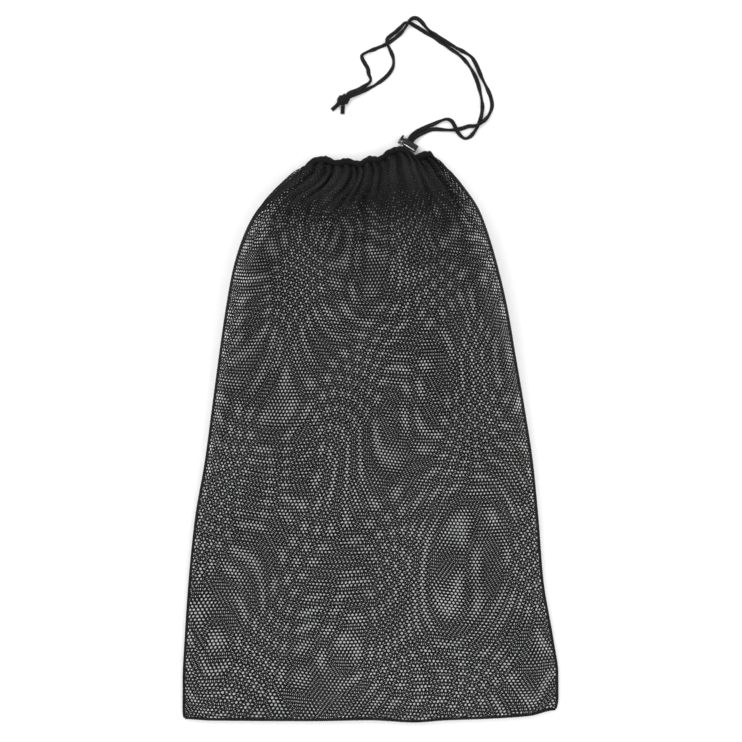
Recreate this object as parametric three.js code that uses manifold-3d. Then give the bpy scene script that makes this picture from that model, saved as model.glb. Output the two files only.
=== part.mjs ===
// Mesh drawstring bag for swim and dive gear, lying on its back, drawn closed, with its cord laid out beyond the mouth.
// Millimetres. +X across the bag, +Y towards the mouth, +Z up. The origin is on the floor under the middle of the bag.

import * as THREE from "three";
import { mergeVertices } from "three/addons/utils/BufferGeometryUtils.js";
import Module from "manifold-3d";

const wasm = await Module();
wasm.setup();

// Driving sizes of the cloth
const bagLength = 667;
const halfWidth = 222;
const crownRise = 64;
const seamHeight = 36;
const clothWall = 1.2;
const gap = 0.3;
const rimBump = 13;
const domeShape = 0.82;
const flatTop = 0.1;
const rimFade = 70;
const bottomStep = 8;
const bottomFade = 60;

// Sewn seams: the two cloth edges are turned in and lie flat on each other
const seamWall = 1.8;
const seamInside = 4.2;
const seamClearance = 0.42;
const seamBead = 0.9;
const seamDrift = 24;
const seamEndGap = 6.6;
const seamBottomSteps = 18;

// Hem round the mouth, a tunnel that the cord is threaded through
const hemHeight = 10;
const hemWall = 8.6;
const hemTuck = 2.5;
const hemSpan = 3;
const hemGathers = 19;
const hemRuffle = 0.11;
const exitAt = 44.5;
const exitOpening = 15;
const leadOut = 1.4;
const lockInset = 0.1;

// Gathers in the cloth below the hem
const foldDepth = 9;
const backFoldDepth = 3.2;
const foldStart = 24;
const foldLength = 95;

// Drawcord and cord lock
const cordDiameter = 3.3;
const cordSides = 8;
const strandSpacing = 3.7;
const barrelRadius = 4.7;
const barrelLength = 18.5;
const barrelWall = 1.1;
const barrelEnd = 1.8;
const flangeRadius = 5.7;
const flangeThickness = 2.4;
const lockTravel = 2.4;
const lockGap = 2.6;
const holeFromFlange = 10;
const lockAngle = THREE.MathUtils.degToRad(-33);
const lockHole = new THREE.Vector3(exitAt, 349.2, flangeRadius + 0.1);
const stemClearance = 0.3;
const stemLand = 2;
const lockEdge = 0.5;
const lockSides = 20;

// End knot
const knotLength = 18;
const knotWidth = 13.4;
const knotHeight = 9.6;
const knotPlace = new THREE.Vector3(-32.3, 401.2, 5);
const knotTurn = THREE.MathUtils.degToRad(214.7);
const knotLift = 0.4;
const knotRidge = 0.09;
const knotTurns = 3;
const knotCap = 0.16;
const knotSides = 14;
const knotStations = 11;
const tailLength = 9.5;
const tailLift = 1.8;
const tailSag = 0.9;
const tailSteps = 4;
const tails = {
  left: { turn: THREE.MathUtils.degToRad(5), from: 9.65 },
  right: { turn: THREE.MathUtils.degToRad(40), from: 8.05 },
};

// Mesh steps
const acrossSteps = 36;
const rowStep = 75;
const hemSteps = 57;
const hemSides = 8;
const tunnelSteps = 40;
const tunnelInset = 2.5;
const bendSteps = 4;
const loopSamples = 240;

// Sections of the bag from the bottom seam to the rim, as shares of the named sizes. rise is the front cloth above
// the seam, sink how far the back cloth has come down from the seam to the floor, drift the left seam's place.
const sections = [
  { along: 0.0, left: 0.985, right: 0.984, edge: 0.17, rise: 0.0, sink: 0.0, drift: 0 },
  { along: 0.0008, left: 0.991, right: 0.988, edge: 0.17, rise: 0.06, sink: 0.45, drift: 0 },
  { along: 0.006, left: 0.998, right: 0.993, edge: 0.17, rise: 0.14, sink: 0.9, drift: 0 },
  { along: 0.022, left: 0.999, right: 0.999, edge: 0.18, rise: 0.2, sink: 1, drift: 0 },
  { along: 0.075, left: 0.998, right: 0.998, edge: 0.2, rise: 0.28, sink: 1, drift: 0 },
  { along: 0.15, left: 0.986, right: 0.968, edge: 0.24, rise: 0.34, sink: 1, drift: 0 },
  { along: 0.25, left: 0.965, right: 0.917, edge: 0.28, rise: 0.38, sink: 1, drift: 0 },
  { along: 0.36, left: 0.93, right: 0.89, edge: 0.33, rise: 0.42, sink: 1, drift: 0 },
  { along: 0.46, left: 0.877, right: 0.859, edge: 0.42, rise: 0.47, sink: 1, drift: 0 },
  { along: 0.56, left: 0.835, right: 0.811, edge: 0.55, rise: 0.6, sink: 1, drift: 0 },
  { along: 0.65, left: 0.797, right: 0.763, edge: 0.7, rise: 0.76, sink: 1, drift: 0 },
  { along: 0.73, left: 0.76, right: 0.72, edge: 0.86, rise: 0.91, sink: 1, drift: 0 },
  { along: 0.8, left: 0.72, right: 0.67, edge: 0.97, rise: 1.0, sink: 1, drift: 0 },
  { along: 0.86, left: 0.662, right: 0.619, edge: 1.0, rise: 0.99, sink: 1, drift: 0.15 },
  { along: 0.91, left: 0.587, right: 0.565, edge: 0.95, rise: 0.87, sink: 1, drift: 0.6 },
  { along: 0.945, left: 0.503, right: 0.502, edge: 0.8, rise: 0.62, sink: 0.99, drift: 1.0 },
  { along: 0.97, left: 0.434, right: 0.45, edge: 0.58, rise: 0.34, sink: 0.85, drift: 0.85 },
  { along: 0.985, left: 0.385, right: 0.41, edge: 0.45, rise: 0.19, sink: 0.69, drift: 0.45 },
  { along: 1.0, left: 0.279, right: 0.3, edge: 0.39, rise: 0.11, sink: 0.55, drift: 0.1 },
];

// Swells and dips of the front cloth: at and along place the middle, wide and long are its half sizes
const swells = [
  { at: -0.33, along: 0.845, wide: 0.17, long: 0.11, rise: 0.1 },
  { at: 0.27, along: 0.84, wide: 0.16, long: 0.11, rise: 0.08 },
  { at: -0.02, along: 0.83, wide: 0.1, long: 0.13, rise: -0.26 },
  { at: 0.13, along: 0.66, wide: 0.09, long: 0.09, rise: -0.12 },
  { at: -0.36, along: 0.52, wide: 0.22, long: 0.11, rise: 0.2 },
  { at: 0.2, along: 0.62, wide: 0.12, long: 0.07, rise: 0.13 },
  { at: 0.62, along: 0.36, wide: 0.12, long: 0.2, rise: 0.14 },
  { at: -0.15, along: 0.135, wide: 0.24, long: 0.075, rise: 0.42 },
  { at: 0.3, along: 0.08, wide: 0.16, long: 0.06, rise: 0.12 },
  { at: -0.62, along: 0.25, wide: 0.12, long: 0.16, rise: -0.06 },
];

// Folds that run down from the hem: at is the place across the mouth from -1 to 1, the others are shares
const folds = [
  { at: -0.84, deep: 0.3, wide: 0.055, long: 0.7 },
  { at: -0.68, deep: 0.7, wide: 0.055, long: 0.6 },
  { at: -0.47, deep: 0.85, wide: 0.06, long: 0.9 },
  { at: -0.25, deep: 1.0, wide: 0.055, long: 1.2 },
  { at: -0.04, deep: 0.9, wide: 0.06, long: 0.8 },
  { at: 0.14, deep: 1.0, wide: 0.055, long: 1.35 },
  { at: 0.34, deep: 0.95, wide: 0.06, long: 0.85 },
  { at: 0.55, deep: 0.8, wide: 0.06, long: 1.0 },
  { at: 0.74, deep: 0.6, wide: 0.055, long: 0.6 },
  { at: 0.9, deep: 0.35, wide: 0.045, long: 0.5 },
];

// Outline of the rim and of the bottom seam seen from above: at runs from the left edge to the right one
const rimLine = [
  { at: 0.0, rise: -0.45 },
  { at: 0.08, rise: -0.02 },
  { at: 0.14, rise: 0.0 },
  { at: 0.226, rise: -0.35 },
  { at: 0.307, rise: -0.16 },
  { at: 0.394, rise: -0.43 },
  { at: 0.474, rise: 0.03 },
  { at: 0.533, rise: -0.06 },
  { at: 0.616, rise: 0.58 },
  { at: 0.7, rise: 0.92 },
  { at: 0.774, rise: 0.6 },
  { at: 0.823, rise: 0.15 },
  { at: 0.874, rise: 0.4 },
  { at: 0.93, rise: 0.5 },
  { at: 1.0, rise: -0.45 },
];
const bottomLine = [
  { at: 0.0, rise: 0.3 },
  { at: 0.07, rise: 0.08 },
  { at: 0.35, rise: 0.0 },
  { at: 0.5, rise: 0.12 },
  { at: 0.62, rise: -0.2 },
  { at: 0.7, rise: 0.1 },
  { at: 0.82, rise: 0.35 },
  { at: 0.93, rise: 0.75 },
  { at: 1.0, rise: 1.6 },
];

// Routes of the two free strands from the lock to the knot, laid on the floor, each over the other in turn
const cordLow = cordDiameter / 2 + 0.15;
const cordOver = cordLow + cordDiameter + 0.9;
const innerRoute = [
  [45.8, 354.4, 5.8],
  [48.4, 358.4, 5.4],
  [55.2, 364.2, 3.2],
  [62.2, 367.9, cordLow],
  [68.8, 370.8, cordLow],
  [75.4, 373.4, cordLow],
  [83.3, 377.0, cordLow],
  [90.5, 379.0, 2.6],
  [96.0, 376.6, 4.2],
  [100.2, 369.4, cordOver],
  [103.6, 363.2, 4.2],
  [107.8, 358.4, 2.6],
  [112.5, 356.0, cordLow],
  [117.7, 357.9, cordLow],
  [122.4, 362.8, cordLow],
  [126.4, 369.0, cordLow],
  [129.8, 377.0, cordLow],
  [132.0, 385.6, cordLow],
  [132.8, 394.4, cordLow],
  [131.7, 403.4, cordLow],
  [129.6, 413.2, cordLow],
  [126.8, 423.1, cordLow],
  [122.6, 433.0, cordLow],
  [117.2, 442.0, cordLow],
  [110.6, 450.4, cordLow],
  [103.8, 456.4, cordLow],
  [96.0, 461.6, cordLow],
  [88.0, 467.3, cordLow],
  [78.8, 473.5, cordLow],
  [69.6, 479.0, cordLow],
  [60.4, 485.0, cordLow],
  [51.6, 490.3, cordLow],
  [45.2, 493.6, cordLow],
  [40.2, 492.9, cordLow],
  [35.6, 488.0, cordLow],
  [30.2, 482.8, cordLow],
  [24.2, 478.2, 2.8],
  [20.0, 473.4, 4.6],
  [20.0, 467.6, cordOver],
  [22.4, 462.6, 4.6],
  [25.2, 456.6, 2.6],
  [27.3, 449.5, cordLow],
  [26.9, 442.2, cordLow],
  [23.4, 435.0, cordLow],
  [16.8, 427.7, cordLow],
  [10.2, 422.6, cordLow],
  [3.9, 418.4, cordLow],
  [-5.2, 413.8, cordLow],
  [-13.3, 409.8, 3.0],
  [-23.6, 405.6, 4.6],
];
const outerRoute = [
  [49.0, 352.3, 5.8],
  [51.8, 356.0, 5.2],
  [58.3, 360.4, 3.2],
  [64.8, 363.8, cordLow],
  [71.4, 366.4, cordLow],
  [78.0, 367.1, cordLow],
  [85.9, 366.5, cordLow],
  [93.8, 366.1, cordLow],
  [101.7, 366.5, cordLow],
  [109.6, 368.3, cordLow],
  [116.2, 370.4, 2.8],
  [122.9, 370.6, 4.8],
  [129.2, 372.6, cordOver],
  [135.6, 377.6, 4.4],
  [141.0, 384.9, 2.4],
  [144.2, 394.1, cordLow],
  [143.2, 402.9, cordLow],
  [140.2, 411.5, cordLow],
  [136.2, 419.9, cordLow],
  [132.0, 428.4, cordLow],
  [128.4, 436.9, cordLow],
  [124.5, 445.5, cordLow],
  [119.8, 452.7, cordLow],
  [113.6, 457.2, cordLow],
  [107.0, 460.9, cordLow],
  [100.4, 464.5, cordLow],
  [92.6, 469.3, cordLow],
  [84.8, 474.6, cordLow],
  [77.5, 478.9, cordLow],
  [71.5, 482.5, cordLow],
  [65.7, 488.2, cordLow],
  [60.4, 494.6, cordLow],
  [55.6, 498.3, 2.4],
  [50.6, 498.4, 4.2],
  [46.2, 494.8, cordOver],
  [42.6, 489.2, 4.6],
  [38.2, 483.2, 2.6],
  [31.9, 477.2, cordLow],
  [25.3, 472.0, cordLow],
  [18.1, 467.6, cordLow],
  [10.8, 464.4, cordLow],
  [2.9, 461.3, cordLow],
  [-5.0, 458.2, cordLow],
  [-10.2, 454.7, cordLow],
  [-9.8, 450.8, cordLow],
  [-6.5, 444.8, cordLow],
  [-3.2, 438.9, cordLow],
  [-2.0, 432.3, cordLow],
  [0.4, 426.0, cordLow],
  [-1.8, 421.9, cordLow],
  [-8.2, 417.6, cordLow],
  [-15.6, 413.6, 3.2],
  [-26.0, 409.0, 4.8],
];
const strandSteps = 40;

// Small helpers

/** Cubic between table rows that keeps each column from overshooting. */
function readTable(rows, key, place, name) {
  const last = rows.length - 1;
  let k = 0;
  while (k < last - 1 && rows[k + 1][key] <= place) {
    k += 1;
  }
  const span = rows[k + 1][key] - rows[k][key];
  const t = THREE.MathUtils.clamp((place - rows[k][key]) / span, 0, 1);
  const slope = (i) => {
    if (i === 0 || i === last) {
      return 0;
    }
    const before = (rows[i][name] - rows[i - 1][name]) / (rows[i][key] - rows[i - 1][key]);
    const after = (rows[i + 1][name] - rows[i][name]) / (rows[i + 1][key] - rows[i][key]);
    return before * after <= 0 ? 0 : (2 * before * after) / (before + after);
  };
  const ease = t * t * (3 - 2 * t);
  const bend = (slope(k) * (1 - t) - slope(k + 1) * t) * t * (1 - t) * span;
  return rows[k][name] + (rows[k + 1][name] - rows[k][name]) * ease + bend;
}

/** Bell curve of height one and half size one. */
const bell = (x) => Math.exp(-x * x);

/** Smooth step from 0 at x = 0 to 1 at x = 1. */
function smooth(x) {
  const t = THREE.MathUtils.clamp(x, 0, 1);
  return t * t * (3 - 2 * t);
}

/** Closed mesh as a manifold solid. */
function solid(geometry) {
  const bare = new THREE.BufferGeometry();
  bare.setAttribute("position", geometry.getAttribute("position").clone());
  if (geometry.index) {
    bare.setIndex(geometry.index.clone());
  }
  const merged = mergeVertices(bare, 1e-4);
  return new wasm.Manifold(
    new wasm.Mesh({
      numProp: 3,
      vertProperties: new Float32Array(merged.attributes.position.array),
      triVerts: new Uint32Array(merged.index.array),
    })
  );
}

/** Manifold solid back as a geometry. */
function geometryOf(body) {
  const mesh = body.getMesh();
  const geometry = new THREE.BufferGeometry();
  geometry.setAttribute("position", new THREE.BufferAttribute(new Float32Array(mesh.vertProperties), 3));
  geometry.setIndex(new THREE.BufferAttribute(new Uint32Array(mesh.triVerts), 1));
  return geometry;
}

/** Geometry from rings of points: each ring is closed, and the ends are capped or the last ring meets the first. */
function skin(rings, closed) {
  const count = rings[0].length;
  const points = rings.flat();
  const triangles = [];
  const bands = closed ? rings.length : rings.length - 1;
  for (let r = 0; r < bands; r += 1) {
    const next = (r + 1) % rings.length;
    for (let k = 0; k < count; k += 1) {
      const a = r * count + k;
      const b = r * count + ((k + 1) % count);
      const c = next * count + ((k + 1) % count);
      const d = next * count + k;
      triangles.push(a, b, c, a, c, d);
    }
  }
  if (!closed) {
    for (const [ring, flip] of [
      [0, true],
      [rings.length - 1, false],
    ]) {
      const middle = points.length;
      const centre = rings[ring].reduce((sum, p) => sum.add(p), new THREE.Vector3());
      points.push(centre.divideScalar(count));
      for (let k = 0; k < count; k += 1) {
        const a = ring * count + k;
        const b = ring * count + ((k + 1) % count);
        triangles.push(...(flip ? [middle, b, a] : [middle, a, b]));
      }
    }
  }
  const geometry = new THREE.BufferGeometry().setFromPoints(points);
  geometry.setIndex(triangles);
  return geometry;
}

/** Turns a closed geometry right side out. */
function outward(geometry) {
  const p = geometry.attributes.position;
  const i = geometry.index.array;
  const [a, b, c] = [new THREE.Vector3(), new THREE.Vector3(), new THREE.Vector3()];
  let volume = 0;
  for (let k = 0; k < i.length; k += 3) {
    a.fromBufferAttribute(p, i[k]);
    b.fromBufferAttribute(p, i[k + 1]);
    c.fromBufferAttribute(p, i[k + 2]);
    volume += a.dot(b.cross(c));
  }
  if (volume < 0) {
    for (let k = 0; k < i.length; k += 3) {
      [i[k + 1], i[k + 2]] = [i[k + 2], i[k + 1]];
    }
  }
  return geometry;
}

// Form of the bag

const pinch = seamWall / 2 + seamClearance;
const floorLevel = clothWall / 2;
const lastRow = sections.length - 1;
const numbered = sections.map((row, index) => ({ ...row, index }));
const loops = new Map();

/** Heights of the front and back cloth over the section, between its two edges. */
function sectionSizes(t) {
  const read = (name) => readTable(numbered, "index", t, name);
  const edge = read("edge") * seamHeight;
  const under = edge - pinch;
  return {
    along: read("along"),
    left: -read("left") * halfWidth,
    right: read("right") * halfWidth,
    edge,
    front: edge + pinch + read("rise") * crownRise,
    back: under - read("sink") * (under - floorLevel),
    drift: read("drift") * seamDrift,
    settled: read("sink"),
  };
}

/** Rise of the front cloth from its swells, which die out at the seams. */
function swell(x, along) {
  let sum = 0;
  for (const s of swells) {
    sum += s.rise * bell((x / halfWidth - s.at) / s.wide) * bell((along - s.along) / s.long);
  }
  return sum * crownRise;
}

/** Depth of the folds below the hem at share s across, as a share of the fold depth. */
function foldAt(s, along) {
  const below = (1 - along) * bagLength;
  let sum = 0;
  for (const f of folds) {
    sum += f.deep * bell((s - f.at) / f.wide) * bell(below / (f.long * foldLength));
  }
  return sum * smooth((below - hemHeight) / foldStart);
}

/** Closed loop of the cloth's middle surface at row t: x, z and the length run from the left edge over the front. */
function loopAt(t) {
  const key = t.toFixed(5);
  if (loops.has(key)) {
    return loops.get(key);
  }
  const size = sectionSizes(t);
  const middle = (size.left + size.right) / 2;
  const half = (size.right - size.left) / 2;
  const open = THREE.MathUtils.clamp((size.front - size.edge - pinch) / (0.3 * crownRise), 0, 1);
  const xs = [];
  const zs = [];
  for (let k = 0; k <= loopSamples; k += 1) {
    const turn = (Math.PI * k) / loopSamples;
    const s = -Math.cos(turn);
    const dome = Math.sin(turn) ** THREE.MathUtils.lerp(flatTop, domeShape, open);
    const x = middle + half * s;
    const bumps = swell(x, size.along) * open * dome;
    const fold = foldDepth * foldAt(s, size.along) * dome;
    xs.push(x);
    zs.push(size.edge + (size.front - size.edge) * dome + bumps - fold);
  }
  const round = Math.min(half * 0.5, (size.edge - size.back) * 1.25 + 2);
  for (let k = 1; k < loopSamples; k += 1) {
    const turn = (Math.PI * k) / loopSamples;
    const s = Math.cos(turn);
    const inside = Math.min(1, (half * (1 - Math.abs(s))) / round);
    const drop = Math.sqrt(1 - (1 - inside) ** 2);
    const fold = backFoldDepth * foldAt(s, size.along) * drop * (1 - bell((1 - size.along) * 16));
    xs.push(middle + half * s);
    zs.push(size.edge - (size.edge - size.back) * drop + fold);
  }
  const lengths = [0];
  for (let k = 1; k <= xs.length; k += 1) {
    const j = k % xs.length;
    lengths.push(lengths[k - 1] + Math.hypot(xs[j] - xs[k - 1], zs[j] - zs[k - 1]));
  }
  const loop = { size, xs, zs, lengths, frontLength: lengths[loopSamples], total: lengths[xs.length] };
  loops.set(key, loop);
  return loop;
}

/** Rise of the rim or drop of the bottom seam, faded along the bag, added to y. */
function alongY(x, size) {
  const share = THREE.MathUtils.clamp((x - size.left) / (size.right - size.left), 0, 1);
  const fromRim = (1 - size.along) * bagLength;
  const fromBottom = size.along * bagLength;
  const rim = readTable(rimLine, "at", share, "rise") * rimBump * bell(fromRim / rimFade);
  const bottom = readTable(bottomLine, "at", share, "rise") * bottomStep * bell(fromBottom / bottomFade);
  return (size.along - 0.5) * bagLength + rim + bottom;
}

/** Point on the middle surface of the cloth at a length round the loop of row t. */
function clothPoint(length, t) {
  const loop = loopAt(t);
  const wrapped = ((length % loop.total) + loop.total) % loop.total;
  let low = 0;
  let high = loop.lengths.length - 1;
  while (high - low > 1) {
    const mid = (low + high) >> 1;
    if (loop.lengths[mid] <= wrapped) {
      low = mid;
    } else {
      high = mid;
    }
  }
  const share = (wrapped - loop.lengths[low]) / (loop.lengths[low + 1] - loop.lengths[low]);
  const next = (low + 1) % loop.xs.length;
  const x = loop.xs[low] + (loop.xs[next] - loop.xs[low]) * share;
  const z = loop.zs[low] + (loop.zs[next] - loop.zs[low]) * share;
  return new THREE.Vector3(x, alongY(x, loop.size), z);
}

/** Length round the loop of a share across the front or the back cloth, clear of the seams. */
function lengthAt(side, share, t) {
  const loop = loopAt(t);
  const left = loop.size.drift;
  if (side === "front") {
    return left + pinch + share * (loop.frontLength - left - 2 * pinch);
  }
  return left - pinch - share * (loop.total - loop.frontLength + left - 2 * pinch);
}

/** Middle point, outward normal, and directions along the loop and up the bag. */
function clothFrame(lengthOf, t) {
  const step = 0.02;
  const span = 0.6;
  const low = Math.max(0, t - step);
  const high = Math.min(lastRow, t + step);
  const place = clothPoint(lengthOf(t), t);
  const up = clothPoint(lengthOf(high), high).sub(clothPoint(lengthOf(low), low)).normalize();
  const round = clothPoint(lengthOf(t) + span, t).sub(clothPoint(lengthOf(t) - span, t)).normalize();
  const out = new THREE.Vector3().crossVectors(round, up).normalize();
  return { place, up, round, out };
}

/** Row number whose middle lies a distance below the rim. */
function rowBelowRim(distance) {
  const wanted = 1 - distance / bagLength;
  let t = lastRow;
  while (readTable(numbered, "index", t, "along") > wanted) {
    t -= 0.002;
  }
  return t;
}

const hemRow = rowBelowRim(hemHeight / 2);
const panelTopRow = rowBelowRim(hemHeight - hemTuck);
const seamTopRow = rowBelowRim(hemHeight + 4 * gap);

/** Rows of a panel: the table's rows, with more between rows that lie far apart. */
function panelRows() {
  const rows = [];
  for (let k = 0; k < lastRow; k += 1) {
    const span = (sections[k + 1].along - sections[k].along) * bagLength;
    const parts = Math.max(1, Math.ceil(span / rowStep));
    for (let j = 0; j < parts; j += 1) {
      rows.push(k + j / parts);
    }
  }
  return rows.filter((t) => t < panelTopRow - 0.1).concat(panelTopRow);
}

/** Sheet of cloth with its wall, between the seams, from the bottom seam to just below the hem. */
function panel(side) {
  const rows = panelRows();
  const across = acrossSteps + 1;
  const outer = [];
  const inner = [];
  for (const [r, t] of rows.entries()) {
    for (let c = 0; c < across; c += 1) {
      const share = c / acrossSteps;
      const { place, out } = clothFrame((row) => lengthAt(side, share, row), t);
      if (r === 0) {
        out.setZ(0).normalize();
      }
      outer.push(place.clone().addScaledVector(out, clothWall / 2));
      inner.push(place.clone().addScaledVector(out, -clothWall / 2));
    }
  }
  const points = outer.concat(inner);
  const half = outer.length;
  const triangles = [];
  const quad = (a, b, c, d) => triangles.push(a, b, c, a, c, d);
  for (let r = 0; r < rows.length - 1; r += 1) {
    for (let c = 0; c < acrossSteps; c += 1) {
      const a = r * across + c;
      quad(a, a + 1, a + 1 + across, a + across);
      quad(half + a, half + a + across, half + a + 1 + across, half + a + 1);
    }
  }
  for (let c = 0; c < acrossSteps; c += 1) {
    const top = (rows.length - 1) * across + c;
    quad(c + 1, c, half + c, half + c + 1);
    quad(top, top + 1, half + top + 1, half + top);
  }
  for (let r = 0; r < rows.length - 1; r += 1) {
    const a = r * across;
    const b = a + acrossSteps;
    quad(a, a + across, half + a + across, half + a);
    quad(b + across, b, half + b, half + b + across);
  }
  const geometry = new THREE.BufferGeometry().setFromPoints(points);
  geometry.setIndex(triangles);
  return outward(geometry);
}

/** Turned-in allowance of a side seam, held between the edges of the two cloths, from the bottom seam to the hem. */
function sideSeam(atLeft) {
  const share = atLeft ? 0 : 1;
  const middleOf = (t) => (atLeft ? loopAt(t).size.drift : loopAt(t).frontLength);
  const startAlong = (seamInside + 3 * gap + bottomStep * bottomLine[atLeft ? 0 : bottomLine.length - 1].rise) / bagLength;
  const rows = panelRows().filter((t) => sectionSizes(t).along > startAlong && t < seamTopRow - 0.1);
  const rings = rows.concat(seamTopRow).map((t) => {
    const front = clothPoint(lengthAt("front", share, t), t);
    const back = clothPoint(lengthAt("back", share, t), t);
    const over = front.clone().sub(back).normalize();
    const { out } = clothFrame(middleOf, t);
    out.addScaledVector(over, -out.dot(over)).normalize();
    const middle = front.lerp(back, 0.5);
    const corner = (side, depth) =>
      middle.clone().addScaledVector(over, (side * seamWall) / 2).addScaledVector(out, depth);
    return [corner(1, seamBead), corner(-1, seamBead), corner(-1, -seamInside), corner(1, -seamInside)];
  });
  return outward(skin(rings, false));
}

/** Turned-in allowance of the bottom seam, across the whole width. */
function bottomSeam() {
  const size = sectionSizes(0);
  const rings = [];
  for (let c = 0; c <= seamBottomSteps; c += 1) {
    const x = THREE.MathUtils.lerp(size.left + seamEndGap, size.right - seamEndGap, c / seamBottomSteps);
    const y = alongY(x, size);
    const corner = (dy, dz) => new THREE.Vector3(x, y + dy, size.edge + (dz * seamWall) / 2);
    rings.push([corner(-seamBead, -1), corner(seamInside, -1), corner(seamInside, 1), corner(-seamBead, 1)]);
  }
  return outward(skin(rings, false));
}

// Hem and the cord in it

const hemLoop = loopAt(hemRow);

/** Length round the loop, on the back cloth, at the place across where the cord comes out. */
function exitLength() {
  let length = hemLoop.frontLength;
  while (clothPoint(length, hemRow).x > exitAt) {
    length += 0.5;
  }
  return length;
}

/** Frame of the hem's centre line: up is along the bag, and out lies square to it. */
function hemFrame(length) {
  const place = clothPoint(length, hemRow);
  const up = new THREE.Vector3(0, 1, 0);
  const round = clothPoint(length + hemSpan, hemRow).sub(clothPoint(length - hemSpan, hemRow));
  const out = new THREE.Vector3().crossVectors(round.setY(0), up).normalize();
  return { place, up, out };
}

const exitMiddle = exitLength();
const hemFrom = exitMiddle + exitOpening / 2;
const hemTo = exitMiddle - exitOpening / 2 + hemLoop.total;

/** Gathered tube of cloth round the mouth without its bore, grown by a clearance. */
function hemBody(grow) {
  const rings = [];
  const spread = 1 / Math.cos(Math.PI / hemSides);
  for (let k = 0; k <= hemSteps; k += 1) {
    const length = THREE.MathUtils.lerp(hemFrom, hemTo, k / hemSteps);
    const { place, up, out } = hemFrame(length);
    const puff = 1 + hemRuffle * Math.cos((2 * Math.PI * hemGathers * k) / hemSteps);
    const ring = [];
    for (let j = 0; j < hemSides; j += 1) {
      const angle = (2 * Math.PI * (j + 0.5)) / hemSides;
      const high = (hemHeight / 2) * (Math.sin(angle) > 0 ? puff : 1) + grow;
      const thick = (hemWall / 2) * puff + grow;
      const point = place.clone().addScaledVector(up, Math.sin(angle) * high * spread);
      ring.push(point.addScaledVector(out, Math.cos(angle) * thick * spread));
    }
    rings.push(ring);
  }
  return solid(outward(skin(rings, false)));
}

/** Tube of the cord's section with a mitred ring at each point. */
function cordTube(points, diameter = cordDiameter) {
  const last = points.length - 1;
  const runs = points.slice(1).map((p, k) => p.clone().sub(points[k]).normalize());
  const first = new THREE.Vector3(0, 0, 1);
  let side = first.addScaledVector(runs[0], -first.dot(runs[0])).normalize();
  const rings = points.map((point, k) => {
    const before = runs[Math.max(0, k - 1)];
    const after = runs[Math.min(last - 1, k)];
    const along = before.clone().add(after).normalize();
    side = side.addScaledVector(before, -side.dot(before)).normalize();
    const other = new THREE.Vector3().crossVectors(before, side);
    const ring = [];
    for (let j = 0; j < cordSides; j += 1) {
      const angle = (2 * Math.PI * (j + 0.5)) / cordSides;
      const arm = side.clone().multiplyScalar(Math.cos(angle)).addScaledVector(other, Math.sin(angle));
      arm.multiplyScalar(diameter / 2).addScaledVector(before, -arm.dot(along) / before.dot(along));
      ring.push(point.clone().add(arm));
    }
    return ring;
  });
  return solid(outward(skin(rings, false)));
}

/** Points at even steps along a smooth curve through others. */
function evenly(points, steps) {
  return new THREE.CatmullRomCurve3(points, false, "centripetal").getSpacedPoints(steps);
}

const lockAxis = new THREE.Vector3(Math.cos(lockAngle), Math.sin(lockAngle), 0);
const lockAcross = new THREE.Vector3(-lockAxis.y, lockAxis.x, 0);

/** Point by the lock: along its axis from the hole, and across it along the cord. */
const byLock = (along, across) =>
  lockHole.clone().addScaledVector(lockAxis, along).addScaledVector(lockAcross, across);

/** Drawcord from inside the lock, round the hem's tunnel and back into the lock. */
function tunnelCord(diameter) {
  const half = strandSpacing / 2;
  const reach = barrelRadius - lockInset;
  const inHem = [];
  for (let k = 0; k <= tunnelSteps; k += 1) {
    inHem.push(hemFrame(THREE.MathUtils.lerp(hemTo - tunnelInset, hemFrom + tunnelInset, k / tunnelSteps)).place);
  }
  const bend = (along, from, to) => {
    const lead = [byLock(along, -reach), byLock(along, -reach - leadOut)];
    const curve = new THREE.CatmullRomCurve3([...lead, from, to], false, "centripetal");
    return Array.from({ length: bendSteps + 1 }, (_, k) => curve.getPoint((1 + k / bendSteps) / 3));
  };
  const entry = bend(half, inHem[0], inHem[1]);
  const leave = bend(-half, inHem[tunnelSteps], inHem[tunnelSteps - 1]).reverse();
  return cordTube([byLock(half, reach), ...entry, ...inHem.slice(1, -1), ...leave, byLock(-half, reach)], diameter);
}

const strand = (route) => geometryOf(cordTube(evenly(route.map((p) => new THREE.Vector3(...p)), strandSteps)));

// Cord lock

/** Round bar with stated ends along its own X axis, before it is turned into place. */
function turned(profile, sides) {
  const points = profile.map(([x, r]) => new THREE.Vector2(r, x));
  const lathe = new THREE.LatheGeometry(points, sides);
  lathe.rotateZ(-Math.PI / 2);
  return solid(lathe);
}

/** Slot through a round bar, with round ends, along the bar from one place to another. */
function slot(from, to, width) {
  const radius = width / 2;
  const shape = new THREE.Shape();
  shape.absarc(from + radius, 0, radius, Math.PI / 2, (3 * Math.PI) / 2, false);
  shape.absarc(to - radius, 0, radius, -Math.PI / 2, Math.PI / 2, false);
  shape.closePath();
  const depth = 4 * barrelRadius;
  const block = new THREE.ExtrudeGeometry(shape, { depth, bevelEnabled: false, curveSegments: 6 });
  block.translate(0, 0, -depth / 2);
  block.rotateX(Math.PI / 2);
  return solid(block);
}

const holeHalf = strandSpacing / 2 + cordDiameter / 2 + gap;
const slotWidth = cordDiameter + 2 * gap;
const barrelMouth = -holeFromFlange + flangeThickness / 2 + lockGap;
const barrelFoot = barrelMouth + barrelLength;
const boreRadius = barrelRadius - barrelWall;
const stemRadius = boreRadius - stemClearance;
const stemFoot = holeHalf + stemLand;
const flangeOut = -holeFromFlange - flangeThickness / 2;

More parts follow.
